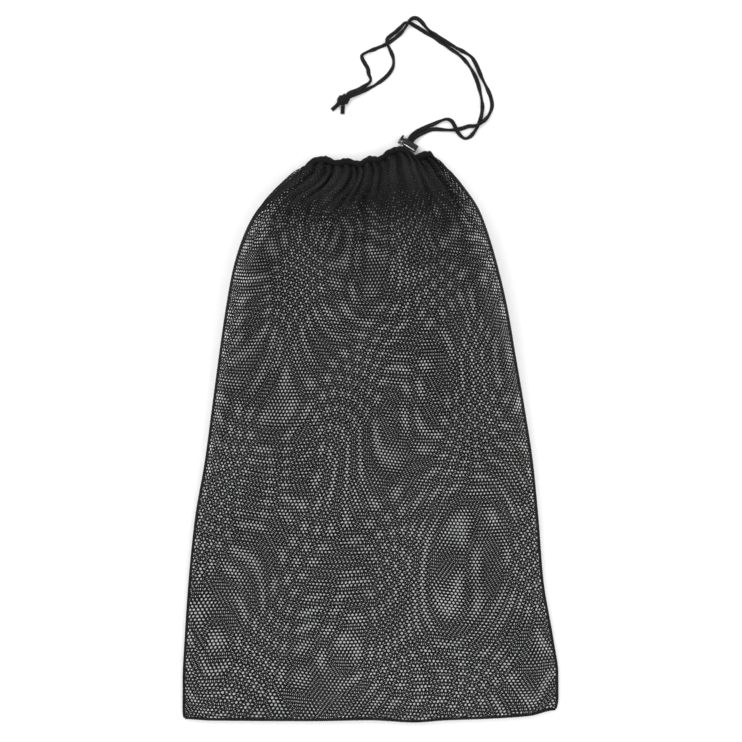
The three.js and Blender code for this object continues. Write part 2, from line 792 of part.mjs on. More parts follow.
/** Barrel of the lock, a cup with a slot through its walls for the two strands. */
function lockBarrel() {
  const cup = turned(
    [
      [barrelMouth, boreRadius],
      [barrelMouth, barrelRadius - lockEdge],
      [barrelMouth + lockEdge, barrelRadius],
      [barrelFoot - lockEdge, barrelRadius],
      [barrelFoot, barrelRadius - lockEdge],
      [barrelFoot, 0],
      [barrelFoot - barrelEnd, 0],
      [barrelFoot - barrelEnd, boreRadius],
      [barrelMouth, boreRadius],
    ],
    lockSides
  );
  return placed(geometryOf(cup.subtract(slot(-holeHalf, holeHalf, slotWidth))));
}

/** Sprung plunger: a flanged head, and a stem whose slot leaves room for its travel. */
function lockPlunger() {
  const stem = turned(
    [
      [flangeOut, 0],
      [flangeOut, flangeRadius - lockEdge],
      [flangeOut + lockEdge, flangeRadius],
      [flangeOut + flangeThickness - lockEdge, flangeRadius],
      [flangeOut + flangeThickness, flangeRadius - lockEdge],
      [flangeOut + flangeThickness, stemRadius],
      [stemFoot, stemRadius],
      [stemFoot, 0],
    ],
    lockSides
  );
  return placed(geometryOf(stem.subtract(slot(-holeHalf - lockTravel, holeHalf, slotWidth))));
}

/** Turns a piece of the lock from its own X axis onto the lock's axis. */
function placed(geometry) {
  geometry.rotateZ(lockAngle);
  geometry.translate(lockHole.x, lockHole.y, lockHole.z);
  return geometry;
}

// End knot and its tails

const knotAxis = new THREE.Vector3(Math.cos(knotTurn), Math.sin(knotTurn), 0);

/** Overhand knot of both strands, with the ridges of the turns round it. */
function endKnot() {
  const rings = [];
  for (let k = 0; k <= knotStations; k += 1) {
    const turn = THREE.MathUtils.lerp(knotCap, Math.PI - knotCap, k / knotStations);
    const ring = [];
    for (let j = 0; j < knotSides; j += 1) {
      const angle = (2 * Math.PI * j) / knotSides;
      const ridge = 1 + knotRidge * Math.cos(2 * knotTurns * turn - angle) * Math.sin(turn);
      const radius = Math.sin(turn) * ridge;
      const point = new THREE.Vector3(
        (-Math.cos(turn) * knotLength) / 2,
        (Math.cos(angle) * radius * knotWidth) / 2,
        (Math.sin(angle) * radius * knotHeight) / 2
      );
      ring.push(point);
    }
    rings.push(ring);
  }
  const geometry = outward(skin(rings, false));
  geometry.rotateZ(knotTurn);
  geometry.translate(knotPlace.x, knotPlace.y, knotPlace.z + knotLift);
  return geometry;
}

/** Cut end of one strand, laid from the knot to the floor. */
function tail({ turn, from }) {
  const direction = knotAxis.clone().applyAxisAngle(new THREE.Vector3(0, 0, 1), turn);
  const start = knotPlace.clone().addScaledVector(direction, from);
  const end = start.clone().addScaledVector(direction, tailLength).setZ(cordLow);
  const middle = start.clone().lerp(end, 0.45).setZ(cordLow + tailSag);
  return geometryOf(cordTube(evenly([start.setZ(cordLow + tailLift), middle, end], tailSteps)));
}

// Materials and assembly

const finish = (color, roughness) => new THREE.MeshStandardMaterial({ color, roughness, metalness: 0 });
const net = finish(0x1c1c20, 0.85);
const tape = finish(0x17171a, 0.8);
const cord = finish(0x141416, 0.75);
const plastic = finish(0x0b0b0c, 0.25);

const hemOutside = hemBody(gap);
const hemInside = tunnelCord(cordDiameter + 2 * gap);
const belowHem = (side) => geometryOf(solid(panel(side)).subtract(hemOutside).subtract(hemInside));

const pieces = [
  ["front_panel", belowHem("front"), net],
  ["back_panel", belowHem("back"), net],
  ["left_seam", sideSeam(true), tape],
  ["right_seam", sideSeam(false), tape],
  ["bottom_seam", bottomSeam(), tape],
  ["mouth_hem", geometryOf(hemBody(0).subtract(hemInside)), tape],
  ["tunnel_cord", geometryOf(tunnelCord(cordDiameter)), cord],
  ["inner_strand", strand(innerRoute), cord],
  ["outer_strand", strand(outerRoute), cord],
  ["end_knot", endKnot(), cord],
  ["left_tail", tail(tails.left), cord],
  ["right_tail", tail(tails.right), cord],
  ["lock_barrel", lockBarrel(), plastic],
  ["lock_plunger", lockPlunger(), plastic],
];

const bag = new THREE.Group();
bag.name = "mesh_gear_bag";
for (const [name, geometry, material] of pieces) {
  const mesh = new THREE.Mesh(geometry, material);
  mesh.name = name;
  bag.add(mesh);
}

export default bag;
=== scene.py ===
"""Mesh drawstring bag for swim and dive gear, on its back with its mouth drawn in and its cord laid out.

Sizes in the tables and classes are millimetres, and the studio's are metres where it says so. Meshes are
metres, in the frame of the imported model.
"""

from __future__ import annotations

import logging
import math
from dataclasses import dataclass, field
from enum import Enum
from functools import partialmethod

import bmesh
import bpy
import numpy as np
from bpy.types import GeometryNodeTree as NodeTree
from bpy.types import Material, Node, Object
from bpy.types import NodeSocket as Socket
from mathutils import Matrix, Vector


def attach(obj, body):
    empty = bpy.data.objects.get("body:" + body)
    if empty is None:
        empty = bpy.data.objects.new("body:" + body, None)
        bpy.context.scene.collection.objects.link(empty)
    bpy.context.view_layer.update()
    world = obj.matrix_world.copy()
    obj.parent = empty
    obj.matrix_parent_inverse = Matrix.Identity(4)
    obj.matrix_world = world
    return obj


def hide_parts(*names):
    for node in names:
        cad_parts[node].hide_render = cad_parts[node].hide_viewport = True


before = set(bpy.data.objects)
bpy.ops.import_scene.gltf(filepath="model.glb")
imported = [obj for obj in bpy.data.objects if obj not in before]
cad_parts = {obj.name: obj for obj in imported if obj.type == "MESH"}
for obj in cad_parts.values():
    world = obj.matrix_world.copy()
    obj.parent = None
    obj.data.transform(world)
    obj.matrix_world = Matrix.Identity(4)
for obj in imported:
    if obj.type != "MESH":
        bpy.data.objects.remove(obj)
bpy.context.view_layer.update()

LOG = logging.getLogger("mesh_gear_bag")
MM = 0.001
IMAGE_SIDE = 742
MM_A_PIXEL = 1.18
UP = np.array([0.0, 0.0, 1.0])

# Sections of the bag from the bottom seam to the rim, as shares of the named sizes, with the columns
# along, left, right, edge, rise, sink and drift.
SECTIONS = np.array([
    (0.0, 0.985, 0.984, 0.17, 0.0, 0.0, 0.0),
    (0.0008, 0.991, 0.988, 0.17, 0.06, 0.45, 0.0),
    (0.006, 0.998, 0.993, 0.17, 0.14, 0.9, 0.0),
    (0.022, 0.999, 0.999, 0.18, 0.2, 1.0, 0.0),
    (0.075, 0.998, 0.998, 0.2, 0.28, 1.0, 0.0),
    (0.15, 0.986, 0.968, 0.24, 0.34, 1.0, 0.0),
    (0.25, 0.965, 0.917, 0.28, 0.38, 1.0, 0.0),
    (0.36, 0.93, 0.89, 0.33, 0.42, 1.0, 0.0),
    (0.46, 0.877, 0.859, 0.42, 0.47, 1.0, 0.0),
    (0.56, 0.835, 0.811, 0.55, 0.6, 1.0, 0.0),
    (0.65, 0.797, 0.763, 0.7, 0.76, 1.0, 0.0),
    (0.73, 0.76, 0.72, 0.86, 0.91, 1.0, 0.0),
    (0.8, 0.72, 0.67, 0.97, 1.0, 1.0, 0.0),
    (0.86, 0.662, 0.619, 1.0, 0.99, 1.0, 0.15),
    (0.91, 0.587, 0.565, 0.95, 0.87, 1.0, 0.6),
    (0.945, 0.503, 0.502, 0.8, 0.62, 0.99, 1.0),
    (0.97, 0.434, 0.45, 0.58, 0.34, 0.85, 0.85),
    (0.985, 0.385, 0.41, 0.45, 0.19, 0.69, 0.45),
    (1.0, 0.279, 0.3, 0.39, 0.11, 0.55, 0.1),
])  # fmt: skip
SECTION_COLUMNS = ("along", "left", "right", "edge", "rise", "sink", "drift")

# Swells and dips of the front cloth: at, along, wide, long, rise.
SWELLS = (
    (-0.33, 0.845, 0.17, 0.11, 0.1),
    (0.27, 0.84, 0.16, 0.11, 0.08),
    (-0.02, 0.83, 0.1, 0.13, -0.26),
    (0.13, 0.66, 0.09, 0.09, -0.12),
    (-0.36, 0.52, 0.22, 0.11, 0.2),
    (0.2, 0.62, 0.12, 0.07, 0.13),
    (0.62, 0.36, 0.12, 0.2, 0.14),
    (-0.15, 0.135, 0.24, 0.075, 0.42),
    (0.3, 0.08, 0.16, 0.06, 0.12),
    (-0.62, 0.25, 0.12, 0.16, -0.06),
)

# Folds that run down from the hem: at, deep, wide, long.
FOLDS = (
    (-0.84, 0.3, 0.055, 0.7),
    (-0.68, 0.7, 0.055, 0.6),
    (-0.47, 0.85, 0.06, 0.9),
    (-0.25, 1.0, 0.055, 1.2),
    (-0.04, 0.9, 0.06, 0.8),
    (0.14, 1.0, 0.055, 1.35),
    (0.34, 0.95, 0.06, 0.85),
    (0.55, 0.8, 0.06, 1.0),
    (0.74, 0.6, 0.055, 0.6),
    (0.9, 0.35, 0.045, 0.5),
)

# Outline of the rim and of the bottom seam seen from above: share across from the left, and rise.
RIM_LINE = np.array([
    (0.0, -0.45), (0.08, -0.02), (0.14, 0.0), (0.226, -0.35), (0.307, -0.16), (0.394, -0.43), (0.474, 0.03),
    (0.533, -0.06), (0.616, 0.58), (0.7, 0.92), (0.774, 0.6), (0.823, 0.15), (0.874, 0.4), (0.93, 0.5),
    (1.0, -0.45),
])  # fmt: skip
BOTTOM_LINE = np.array([
    (0.0, 0.3), (0.07, 0.08), (0.35, 0.0), (0.5, 0.12), (0.62, -0.2), (0.7, 0.1), (0.82, 0.35), (0.93, 0.75),
    (1.0, 1.6),
])  # fmt: skip

CORD_DIAMETER = 3.3
CORD_LOW = CORD_DIAMETER / 2 + 0.15
CORD_OVER = CORD_LOW + CORD_DIAMETER + 0.9

# Routes of the two free strands from the lock to the knot, each over the other in turn: x, y and, where the
# strand is off the floor, the height of its middle.
INNER_ROUTE = (
    (45.8, 354.4, 5.8), (48.4, 358.4, 5.4), (55.2, 364.2, 3.2), (62.2, 367.9), (68.8, 370.8), (75.4, 373.4),
    (83.3, 377.0), (90.5, 379.0, 2.6), (96.0, 376.6, 4.2), (100.2, 369.4, CORD_OVER), (103.6, 363.2, 4.2),
    (107.8, 358.4, 2.6), (112.5, 356.0), (117.7, 357.9), (122.4, 362.8), (126.4, 369.0), (129.8, 377.0),
    (132.0, 385.6), (132.8, 394.4), (131.7, 403.4), (129.6, 413.2), (126.8, 423.1), (122.6, 433.0),
    (117.2, 442.0), (110.6, 450.4), (103.8, 456.4), (96.0, 461.6), (88.0, 467.3), (78.8, 473.5), (69.6, 479.0),
    (60.4, 485.0), (51.6, 490.3), (45.2, 493.6), (40.2, 492.9), (35.6, 488.0), (30.2, 482.8),
    (24.2, 478.2, 2.8), (20.0, 473.4, 4.6), (20.0, 467.6, CORD_OVER), (22.4, 462.6, 4.6), (25.2, 456.6, 2.6),
    (27.3, 449.5), (26.9, 442.2), (23.4, 435.0), (16.8, 427.7), (10.2, 422.6), (3.9, 418.4), (-5.2, 413.8),
    (-13.3, 409.8, 3.0), (-23.6, 405.6, 4.6),
)  # fmt: skip
OUTER_ROUTE = (
    (49.0, 352.3, 5.8), (51.8, 356.0, 5.2), (58.3, 360.4, 3.2), (64.8, 363.8), (71.4, 366.4), (78.0, 367.1),
    (85.9, 366.5), (93.8, 366.1), (101.7, 366.5), (109.6, 368.3), (116.2, 370.4, 2.8), (122.9, 370.6, 4.8),
    (129.2, 372.6, CORD_OVER), (135.6, 377.6, 4.4), (141.0, 384.9, 2.4), (144.2, 394.1), (143.2, 402.9),
    (140.2, 411.5), (136.2, 419.9), (132.0, 428.4), (128.4, 436.9), (124.5, 445.5), (119.8, 452.7),
    (113.6, 457.2), (107.0, 460.9), (100.4, 464.5), (92.6, 469.3), (84.8, 474.6), (77.5, 478.9), (71.5, 482.5),
    (65.7, 488.2), (60.4, 494.6), (55.6, 498.3, 2.4), (50.6, 498.4, 4.2), (46.2, 494.8, CORD_OVER),
    (42.6, 489.2, 4.6), (38.2, 483.2, 2.6), (31.9, 477.2), (25.3, 472.0), (18.1, 467.6), (10.8, 464.4),
    (2.9, 461.3), (-5.0, 458.2), (-10.2, 454.7), (-9.8, 450.8), (-6.5, 444.8), (-3.2, 438.9), (-2.0, 432.3),
    (0.4, 426.0), (-1.8, 421.9), (-8.2, 417.6), (-15.6, 413.6, 3.2), (-26.0, 409.0, 4.8),
)  # fmt: skip


class Side(Enum):
    """Face of the bag that a cloth belongs to."""

    FRONT = 1
    BACK = -1


# Small helpers


def read_table(keys: np.ndarray, values: np.ndarray, places: np.ndarray) -> np.ndarray:
    """Cubic between table rows that keeps each column from overshooting.

    Args:
        keys: Rising places of the rows.
        values: The column's values at the rows.
        places: Where the column is read.

    Returns:
        The column's values at the places.
    """
    last = len(keys) - 1
    k = np.clip(np.searchsorted(keys, places, side="right") - 1, 0, last - 1)
    span = keys[k + 1] - keys[k]
    t = np.clip((places - keys[k]) / span, 0, 1)
    step = np.diff(values) / np.diff(keys)
    before, after = step[:-1], step[1:]
    same_way = before * after > 0
    slope = np.zeros(last + 1)
    slope[1:-1] = np.where(same_way, 2 * before * after / np.where(same_way, before + after, 1), 0)
    ease = t * t * (3 - 2 * t)
    bend = (slope[k] * (1 - t) - slope[k + 1] * t) * t * (1 - t) * span
    return values[k] + (values[k + 1] - values[k]) * ease + bend


def bell(x: np.ndarray) -> np.ndarray:
    """Bell curve of height one and half size one."""
    return np.exp(-x * x)


def smooth(x: np.ndarray) -> np.ndarray:
    """Smooth step from 0 at x = 0 to 1 at x = 1."""
    t = np.clip(x, 0, 1)
    return t * t * (3 - 2 * t)


def unit(v: np.ndarray) -> np.ndarray:
    """Vectors along the last axis, scaled to length one."""
    return v / np.maximum(np.linalg.norm(v, axis=-1, keepdims=True), 1e-12)


def sine(turns: np.ndarray) -> np.ndarray:
    """Sine of an angle in whole turns."""
    return np.sin(2 * math.pi * turns)


def lengths_along(points: np.ndarray) -> np.ndarray:
    """Lengths along a line of points, from 0 at its first."""
    return np.concatenate([[0], np.cumsum(np.linalg.norm(np.diff(points, axis=0), axis=1))])


def read_line(at: np.ndarray, lengths: np.ndarray, points: np.ndarray) -> np.ndarray:
    """Points of a line at lengths along it, one row each."""
    return np.stack([np.interp(at, lengths, column) for column in points.T], axis=-1)


def turned_by(vectors: np.ndarray, angle: float) -> np.ndarray:
    """Vectors along the last axis, turned about the upright by an angle in radians."""
    cos, sin = math.cos(angle), math.sin(angle)
    x, y, z = (vectors[..., a] for a in range(3))
    return np.stack([x * cos - y * sin, x * sin + y * cos, z], axis=-1)


def mesh_object(name: str, points: np.ndarray, faces: list, material: Material | None = None) -> Object:
    """Makes an object at the origin from points in metres.

    Args:
        name: Name of the object and its mesh.
        points: Rows of x, y and z.
        faces: Lists of point numbers, or edges where each has two numbers.
        material: Its finish, if it is to be seen.

    Returns:
        The object, linked to the scene.
    """
    mesh = bpy.data.meshes.new(name)
    edges = [f for f in faces if len(f) == 2]
    mesh.from_pydata([tuple(p) for p in points], edges, [f for f in faces if len(f) > 2])
    mesh.shade_smooth()
    if material is not None:
        mesh.materials.append(material)
    obj = bpy.data.objects.new(name, mesh)
    bpy.context.scene.collection.objects.link(obj)
    return obj


def grid_faces(rows: int, columns: int, wrap: bool = False) -> list:
    """Quads of a grid of points.

    Args:
        rows: Number of rows of points.
        columns: Points in each row.
        wrap: Whether each row closes on itself.

    Returns:
        Lists of four point numbers.
    """
    faces = []
    for r in range(rows - 1):
        for c in range(columns if wrap else columns - 1):
            d = (c + 1) % columns
            faces.append((r * columns + c, r * columns + d, (r + 1) * columns + d, (r + 1) * columns + c))
    return faces


def tidy_normals(obj: Object) -> None:
    """Turns a closed mesh's faces outwards."""
    work = bmesh.new()
    work.from_mesh(obj.data)
    bmesh.ops.recalc_face_normals(work, faces=work.faces)
    work.to_mesh(obj.data)
    work.free()


def closed_tube(name: str, rings: np.ndarray, material: Material) -> Object:
    """Makes a tube with filled ends from rings of points in millimetres."""
    rows, columns = rings.shape[:2]
    faces = grid_faces(rows, columns, wrap=True)
    faces += [tuple(range(columns))[::-1], tuple((rows - 1) * columns + c for c in range(columns))]
    tube = mesh_object(name, rings.reshape(-1, 3) * MM, faces, material)
    tidy_normals(tube)
    return tube


def line_object(name: str, points: np.ndarray) -> Object:
    """Makes an object of edges through points in millimetres, for a tree to sweep along."""
    return mesh_object(f"{name}_line", points * MM, [(k, k + 1) for k in range(len(points) - 1)])


def dress(piece: Object, node: str, body: str = "root") -> None:
    """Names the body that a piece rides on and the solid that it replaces."""
    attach(piece, body)
    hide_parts(node)
    LOG.info("%s: %d faces", piece.name, len(piece.data.polygons))


def laid_route(rows: tuple) -> np.ndarray:
    """Points of a route, on the floor where a row names no height."""
    return np.array([row if len(row) == 3 else (*row, CORD_LOW) for row in rows])


def smooth_route(route: np.ndarray, step: float) -> np.ndarray:
    """Centripetal curve through the points of a route, at even steps.

    Args:
        route: Points that the curve goes through.
        step: Distance between the points of the result.

    Returns:
        Points along the curve, from the route's first to its last.
    """
    p = np.asarray(route, float)
    p = np.vstack([2 * p[0] - p[1], p, 2 * p[-1] - p[-2]])
    knots = np.concatenate([[0], np.cumsum(np.linalg.norm(np.diff(p, axis=0), axis=1) ** 0.5)])
    out = []
    for i in range(1, len(p) - 2):
        t = np.linspace(knots[i], knots[i + 1], 33)[:-1, None]
        k = knots[i - 1 : i + 3]
        q = p[i - 1 : i + 3]
        a = [((k[j + 1] - t) * q[j] + (t - k[j]) * q[j + 1]) / (k[j + 1] - k[j]) for j in range(3)]
        b = [((k[j + 2] - t) * a[j] + (t - k[j]) * a[j + 1]) / (k[j + 2] - k[j]) for j in range(2)]
        out.append(((k[2] - t) * b[0] + (t - k[1]) * b[1]) / (k[2] - k[1]))
    dense = np.vstack([*out, p[-2:-1]])
    lengths = lengths_along(dense)
    count = max(2, round(lengths[-1] / step) + 1)
    return read_line(np.linspace(0, lengths[-1], count), lengths, dense)


def baked(obj: Object, name: str, material: Material | None = None) -> Object:
    """Turns an object's evaluated nodes into a plain mesh in an object of its own, and removes the source.

    Args:
        obj: Object with a Geometry Nodes modifier.
        name: Name of the finished piece.
        material: Finish to give it if the nodes left none.

    Returns:
        The finished piece, with no modifiers.
    """
    graph = bpy.context.evaluated_depsgraph_get()
    mesh = bpy.data.meshes.new_from_object(obj.evaluated_get(graph), depsgraph=graph)
    mesh.name = name
    obj.modifiers.clear()
    bpy.data.objects.remove(obj)
    if material is not None and not mesh.materials:
        mesh.materials.append(material)
    piece = bpy.data.objects.new(name, mesh)
    bpy.context.scene.collection.objects.link(piece)
    return piece


def add_node(tree: bpy.types.NodeTree, kind: str, links: dict, settings: dict) -> Node:
    """Adds a node to a tree.

    Args:
        tree: The tree.
        kind: The node's type in full.
        links: Input number or name to a socket to link or a value to set.
        settings: Properties of the node.

    Returns:
        The node.
    """
    node = tree.nodes.new(kind)
    for key, value in settings.items():
        setattr(node, key, value)
    for key, value in links.items():
        if isinstance(value, Socket):
            tree.links.new(value, node.inputs[key])
        else:
            node.inputs[key].default_value = value
    return node


class Tree:
    """Geometry Nodes tree under construction, with named inputs."""

    def __init__(self, name: str) -> None:
        """Starts a tree with a geometry input and output."""
        self.group = bpy.data.node_groups.new(name, "GeometryNodeTree")
        self.group.interface.new_socket("Geometry", in_out="INPUT", socket_type="NodeSocketGeometry")
        self.group.interface.new_socket("Geometry", in_out="OUTPUT", socket_type="NodeSocketGeometry")
        self.inputs = self.group.nodes.new("NodeGroupInput")
        self.outputs = self.group.nodes.new("NodeGroupOutput")
        self.source = self.inputs.outputs["Geometry"]
        (self.material,) = self.add_inputs("Material", "Finish")

    def add_inputs(self, kind: str, *names: str) -> list[Socket]:
        """Adds named inputs of one kind and returns their sockets inside the tree."""
        for name in names:
            self.group.interface.new_socket(name, in_out="INPUT", socket_type=f"NodeSocket{kind}")
        return [self.inputs.outputs[name] for name in names]

    def node(self, kind: str, links: dict | None = None, **settings: object) -> Node:
        """Adds a node, whose type may be without its prefix, with linked or set inputs, and returns it."""
        full = kind if kind.startswith(("Function", "Shader", "Geometry")) else f"GeometryNode{kind}"
        return add_node(self.group, full, links or {}, settings)

    def math(self, operation: str, a: object, b: object = 0.0, c: object = 0.0) -> Socket:
        """Adds a Math node and returns its result."""
        return self.node("ShaderNodeMath", {0: a, 1: b, 2: c}, operation=operation).outputs[0]

    def vector(self, x: object, y: object, z: object) -> Socket:
        """Joins three numbers into a vector."""
        return self.node("ShaderNodeCombineXYZ", {0: x, 1: y, 2: z}).outputs[0]

    def vector_math(self, operation: str, a: object, b: object) -> Socket:
        """Adds a Vector Math node, whose second input is the scale where it scales, and returns its result."""
        second = "Scale" if operation == "SCALE" else 1
        return self.node("ShaderNodeVectorMath", {0: a, second: b}, operation=operation).outputs[0]

    # Two-input operations by name, on numbers and then on vectors.
    times = partialmethod(math, "MULTIPLY")
    plus = partialmethod(math, "ADD")
    over = partialmethod(math, "DIVIDE")
    under = partialmethod(math, "LESS_THAN")
    above = partialmethod(math, "GREATER_THAN")
    joined = partialmethod(vector_math, "ADD")
    between = partialmethod(vector_math, "SUBTRACT")
    scaled = partialmethod(vector_math, "SCALE")

    def named(self, name: str, kind: str = "FLOAT_VECTOR") -> Socket:
        """Reads a named attribute of a data type."""
        return self.node("InputNamedAttribute", {"Name": name}, data_type=kind).outputs[0]

    def position(self) -> Socket:
        """Place of each point."""
        return self.node("InputPosition").outputs[0]

    def parts(self, vector: Socket) -> bpy.types.bpy_prop_collection:
        """Splits a vector into its three numbers."""
        return self.node("ShaderNodeSeparateXYZ", {0: vector}).outputs

    def moved(self, geometry: Socket, place: Socket) -> Socket:
        """Moves points to a place and returns the geometry."""
        return self.node("SetPosition", {"Geometry": geometry, "Position": place}).outputs[0]

    def without(self, geometry: Socket, points: Socket) -> Socket:
        """Deletes chosen points and returns the geometry."""
        links = {"Geometry": geometry, "Selection": points}
        return self.node("DeleteGeometry", links, domain="POINT").outputs[0]

    def copies(self, points: Socket, unit_object: object, rotation: object) -> Socket:
        """Sets a copy of an object's mesh on each point and returns the copies."""
        unit_mesh = self.node("ObjectInfo", {"Object": unit_object}).outputs["Geometry"]
        links = {"Points": points, "Instance": unit_mesh, "Rotation": rotation}
        return self.node("InstanceOnPoints", links).outputs[0]

    def swept(self, curve: Socket, sides: object, radius: object) -> Socket:
        """Sweeps a round section with closed ends along a curve and returns the mesh."""
        section = self.node("CurvePrimitiveCircle", {"Resolution": sides, "Radius": radius}).outputs[0]
        links = {"Curve": curve, "Profile Curve": section, "Fill Caps": True}
        return self.node("CurveToMesh", links).outputs[0]

    def store(self, geometry: Socket, name: str, value: Socket) -> Socket:
        """Stores a vector on points under a name and returns the geometry."""
        links = {"Geometry": geometry, "Name": name, "Value": value}
        return self.node("StoreNamedAttribute", links, data_type="FLOAT_VECTOR", domain="POINT").outputs[0]

    def shares(self, place: Socket, wide: object, long: object) -> tuple:
        """Splits a place on flat cloth into shares of its width and its length."""
        parts = self.parts(place)
        return self.over(parts[0], wide), self.over(parts[1], long)

    def any_of(self, *tests: Socket) -> Socket:
        """Whether any of some tests holds."""
        total = tests[0]
        for test in tests[1:]:
            total = self.plus(total, test)
        return self.above(total, 0.5)

    def finish(self, geometry: Socket) -> NodeTree:
        """Shades a mesh smooth, ends the tree in Realize Instances and Set Material, and returns it."""
        smoothed = self.node("SetShadeSmooth", {"Geometry": geometry}).outputs[0]
        realized = self.node("RealizeInstances", {0: smoothed}).outputs[0]
        dressed = self.node("SetMaterial", {"Geometry": realized, "Material": self.material}).outputs[0]
        self.group.links.new(dressed, self.outputs.inputs[0])
        return self.group


def run_tree(obj: Object, tree: NodeTree, values: dict, name: str) -> Object:
    """Runs a tree on an object, with its inputs set by their identifiers.

    Args:
        obj: The object that gives the tree its geometry, which is removed.
        tree: The tree.
        values: Input name to value.
        name: Name of the finished piece.

    Returns:
        The result as a plain mesh.
    """
    modifier = obj.modifiers.new(tree.name, "NODES")
    modifier.node_group = tree
    known = {i.name: i.identifier for i in tree.interface.items_tree if i.in_out == "INPUT"}
    for input_name, value in values.items():
        modifier[known[input_name]] = value
    return baked(obj, name)


# Finishes


class Shader:
    """Material under construction around one Principled BSDF."""

    def __init__(self, name: str) -> None:
        """Starts a material with a Principled BSDF joined to its output."""
        self.material = bpy.data.materials.new(name)
        self.material.use_nodes = True
        self.tree = self.material.node_tree
        self.tree.nodes.clear()
        self.body = self.tree.nodes.new("ShaderNodeBsdfPrincipled")
        out = self.tree.nodes.new("ShaderNodeOutputMaterial")
        self.tree.links.new(self.body.outputs[0], out.inputs[0])
        self.place = self.tree.nodes.new("ShaderNodeTexCoord").outputs["Object"]

    def set(self, **values: object) -> "Shader":
        """Sets constant inputs of the body, whose names have _ for a space."""
        for name, value in values.items():
            self.body.inputs[name.replace("_", " ")].default_value = value
        return self

    def node(self, kind: str, links: dict | None = None, **settings: object) -> Node:
        """Adds a shader node with linked or set inputs, and returns it."""
        return add_node(self.tree, f"ShaderNode{kind}", links or {}, settings)

    def noise(self, scale: float, detail: float = 2.0) -> Socket:
        """Adds noise of a scale per metre and returns its value."""
        return self.node("TexNoise", {"Vector": self.place, "Scale": scale, "Detail": detail}).outputs[0]

    def product(self, a: Socket, b: Socket) -> Socket:
        """Multiplies two values and returns the product."""
        return self.node("Math", {0: a, 1: b}, operation="MULTIPLY").outputs[0]

    def mix(self, share: Socket, dark: tuple, light: tuple) -> Socket:
        """Mixes two colours by a share and returns the colour."""
        node = self.node("Mix", {0: share}, data_type="RGBA")
        node.inputs[6].default_value = (*dark, 1.0)
        node.inputs[7].default_value = (*light, 1.0)
        return node.outputs[2]

    def spread(self, value: Socket, low: float, high: float, to: tuple = (0.0, 1.0)) -> Socket:
        """Maps a range of a value to another and returns it."""
        links = {0: value, 1: low, 2: high, 3: to[0], 4: to[1]}
        return self.node("MapRange", links).outputs[0]

    def bump(self, height: Socket, distance: float, strength: float = 1.0) -> None:
        """Joins a bump of a height in metres to the body."""
        node = self.node("Bump", {"Height": height, "Distance": distance, "Strength": strength})
        self.tree.links.new(node.outputs[0], self.body.inputs["Normal"])

    def link(self, socket: Socket, name: str) -> None:
        """Joins a socket to a named input of the body."""
        self.tree.links.new(socket, self.body.inputs[name])


@dataclass(frozen=True)
class KnitFinish:
    """Knitted polyester yarn, matt with a soft sheen, dusty on its raised loops."""

    name: str
    dark: tuple = (0.004, 0.004, 0.0045)
    light: tuple = (0.018, 0.0175, 0.0175)
    roughness: float = 0.68
    sheen: float = 0.02
    loop_scale: float = 1400.0
    loop_height: float = 0.00012

    def build(self) -> Material:
        """Builds the material."""
        shader = Shader(self.name)
        loops = shader.noise(self.loop_scale, 3.0)
        patches = shader.noise(18.0, 3.0)
        share = shader.spread(shader.product(loops, patches), 0.12, 0.42)
        shader.link(shader.mix(share, self.dark, self.light), "Base Color")
        rough = shader.spread(patches, 0.3, 0.7, (self.roughness - 0.06, self.roughness + 0.08))
        shader.link(rough, "Roughness")
        shader.bump(loops, self.loop_height)
        shader.set(Sheen_Weight=self.sheen, Sheen_Roughness=0.4, Specular_IOR_Level=0.1)
        return shader.material


@dataclass(frozen=True)
class BraidFinish:
    """Braided cord yarn, nearly black, with fine filaments along each strand."""

    name: str
    dark: tuple = (0.004, 0.004, 0.0045)
    light: tuple = (0.02, 0.02, 0.021)

    def build(self) -> Material:
        """Builds the material."""
        shader = Shader(self.name)
        filaments = shader.noise(2600.0, 2.0)
        wear = shader.noise(60.0, 3.0)
        share = shader.spread(shader.product(filaments, wear), 0.12, 0.45)
        shader.link(shader.mix(share, self.dark, self.light), "Base Color")
        shader.link(shader.spread(wear, 0.3, 0.7, (0.5, 0.7)), "Roughness")
        shader.bump(filaments, 0.00006)
        shader.set(Sheen_Weight=0.02, Specular_IOR_Level=0.12)
        return shader.material


@dataclass(frozen=True)
class MouldedFinish:
    """Glossy black moulded plastic with a faint flow texture and fine scuffs."""

    name: str
    color: tuple = (0.004, 0.004, 0.0045)

    def build(self) -> Material:
        """Builds the material."""
        shader = Shader(self.name)
        scuffs = shader.noise(900.0, 4.0)
        flow = shader.noise(120.0, 2.0)
        light = tuple(c * 1.7 for c in self.color)
        shader.link(shader.mix(flow, self.color, light), "Base Color")
        shader.link(shader.spread(scuffs, 0.35, 0.75, (0.07, 0.13)), "Roughness")
        shader.bump(flow, 0.000003, 0.5)
        shader.set(Coat_Weight=0.15, Coat_Roughness=0.05, Specular_IOR_Level=0.3)
        return shader.material


# Form of the cloth


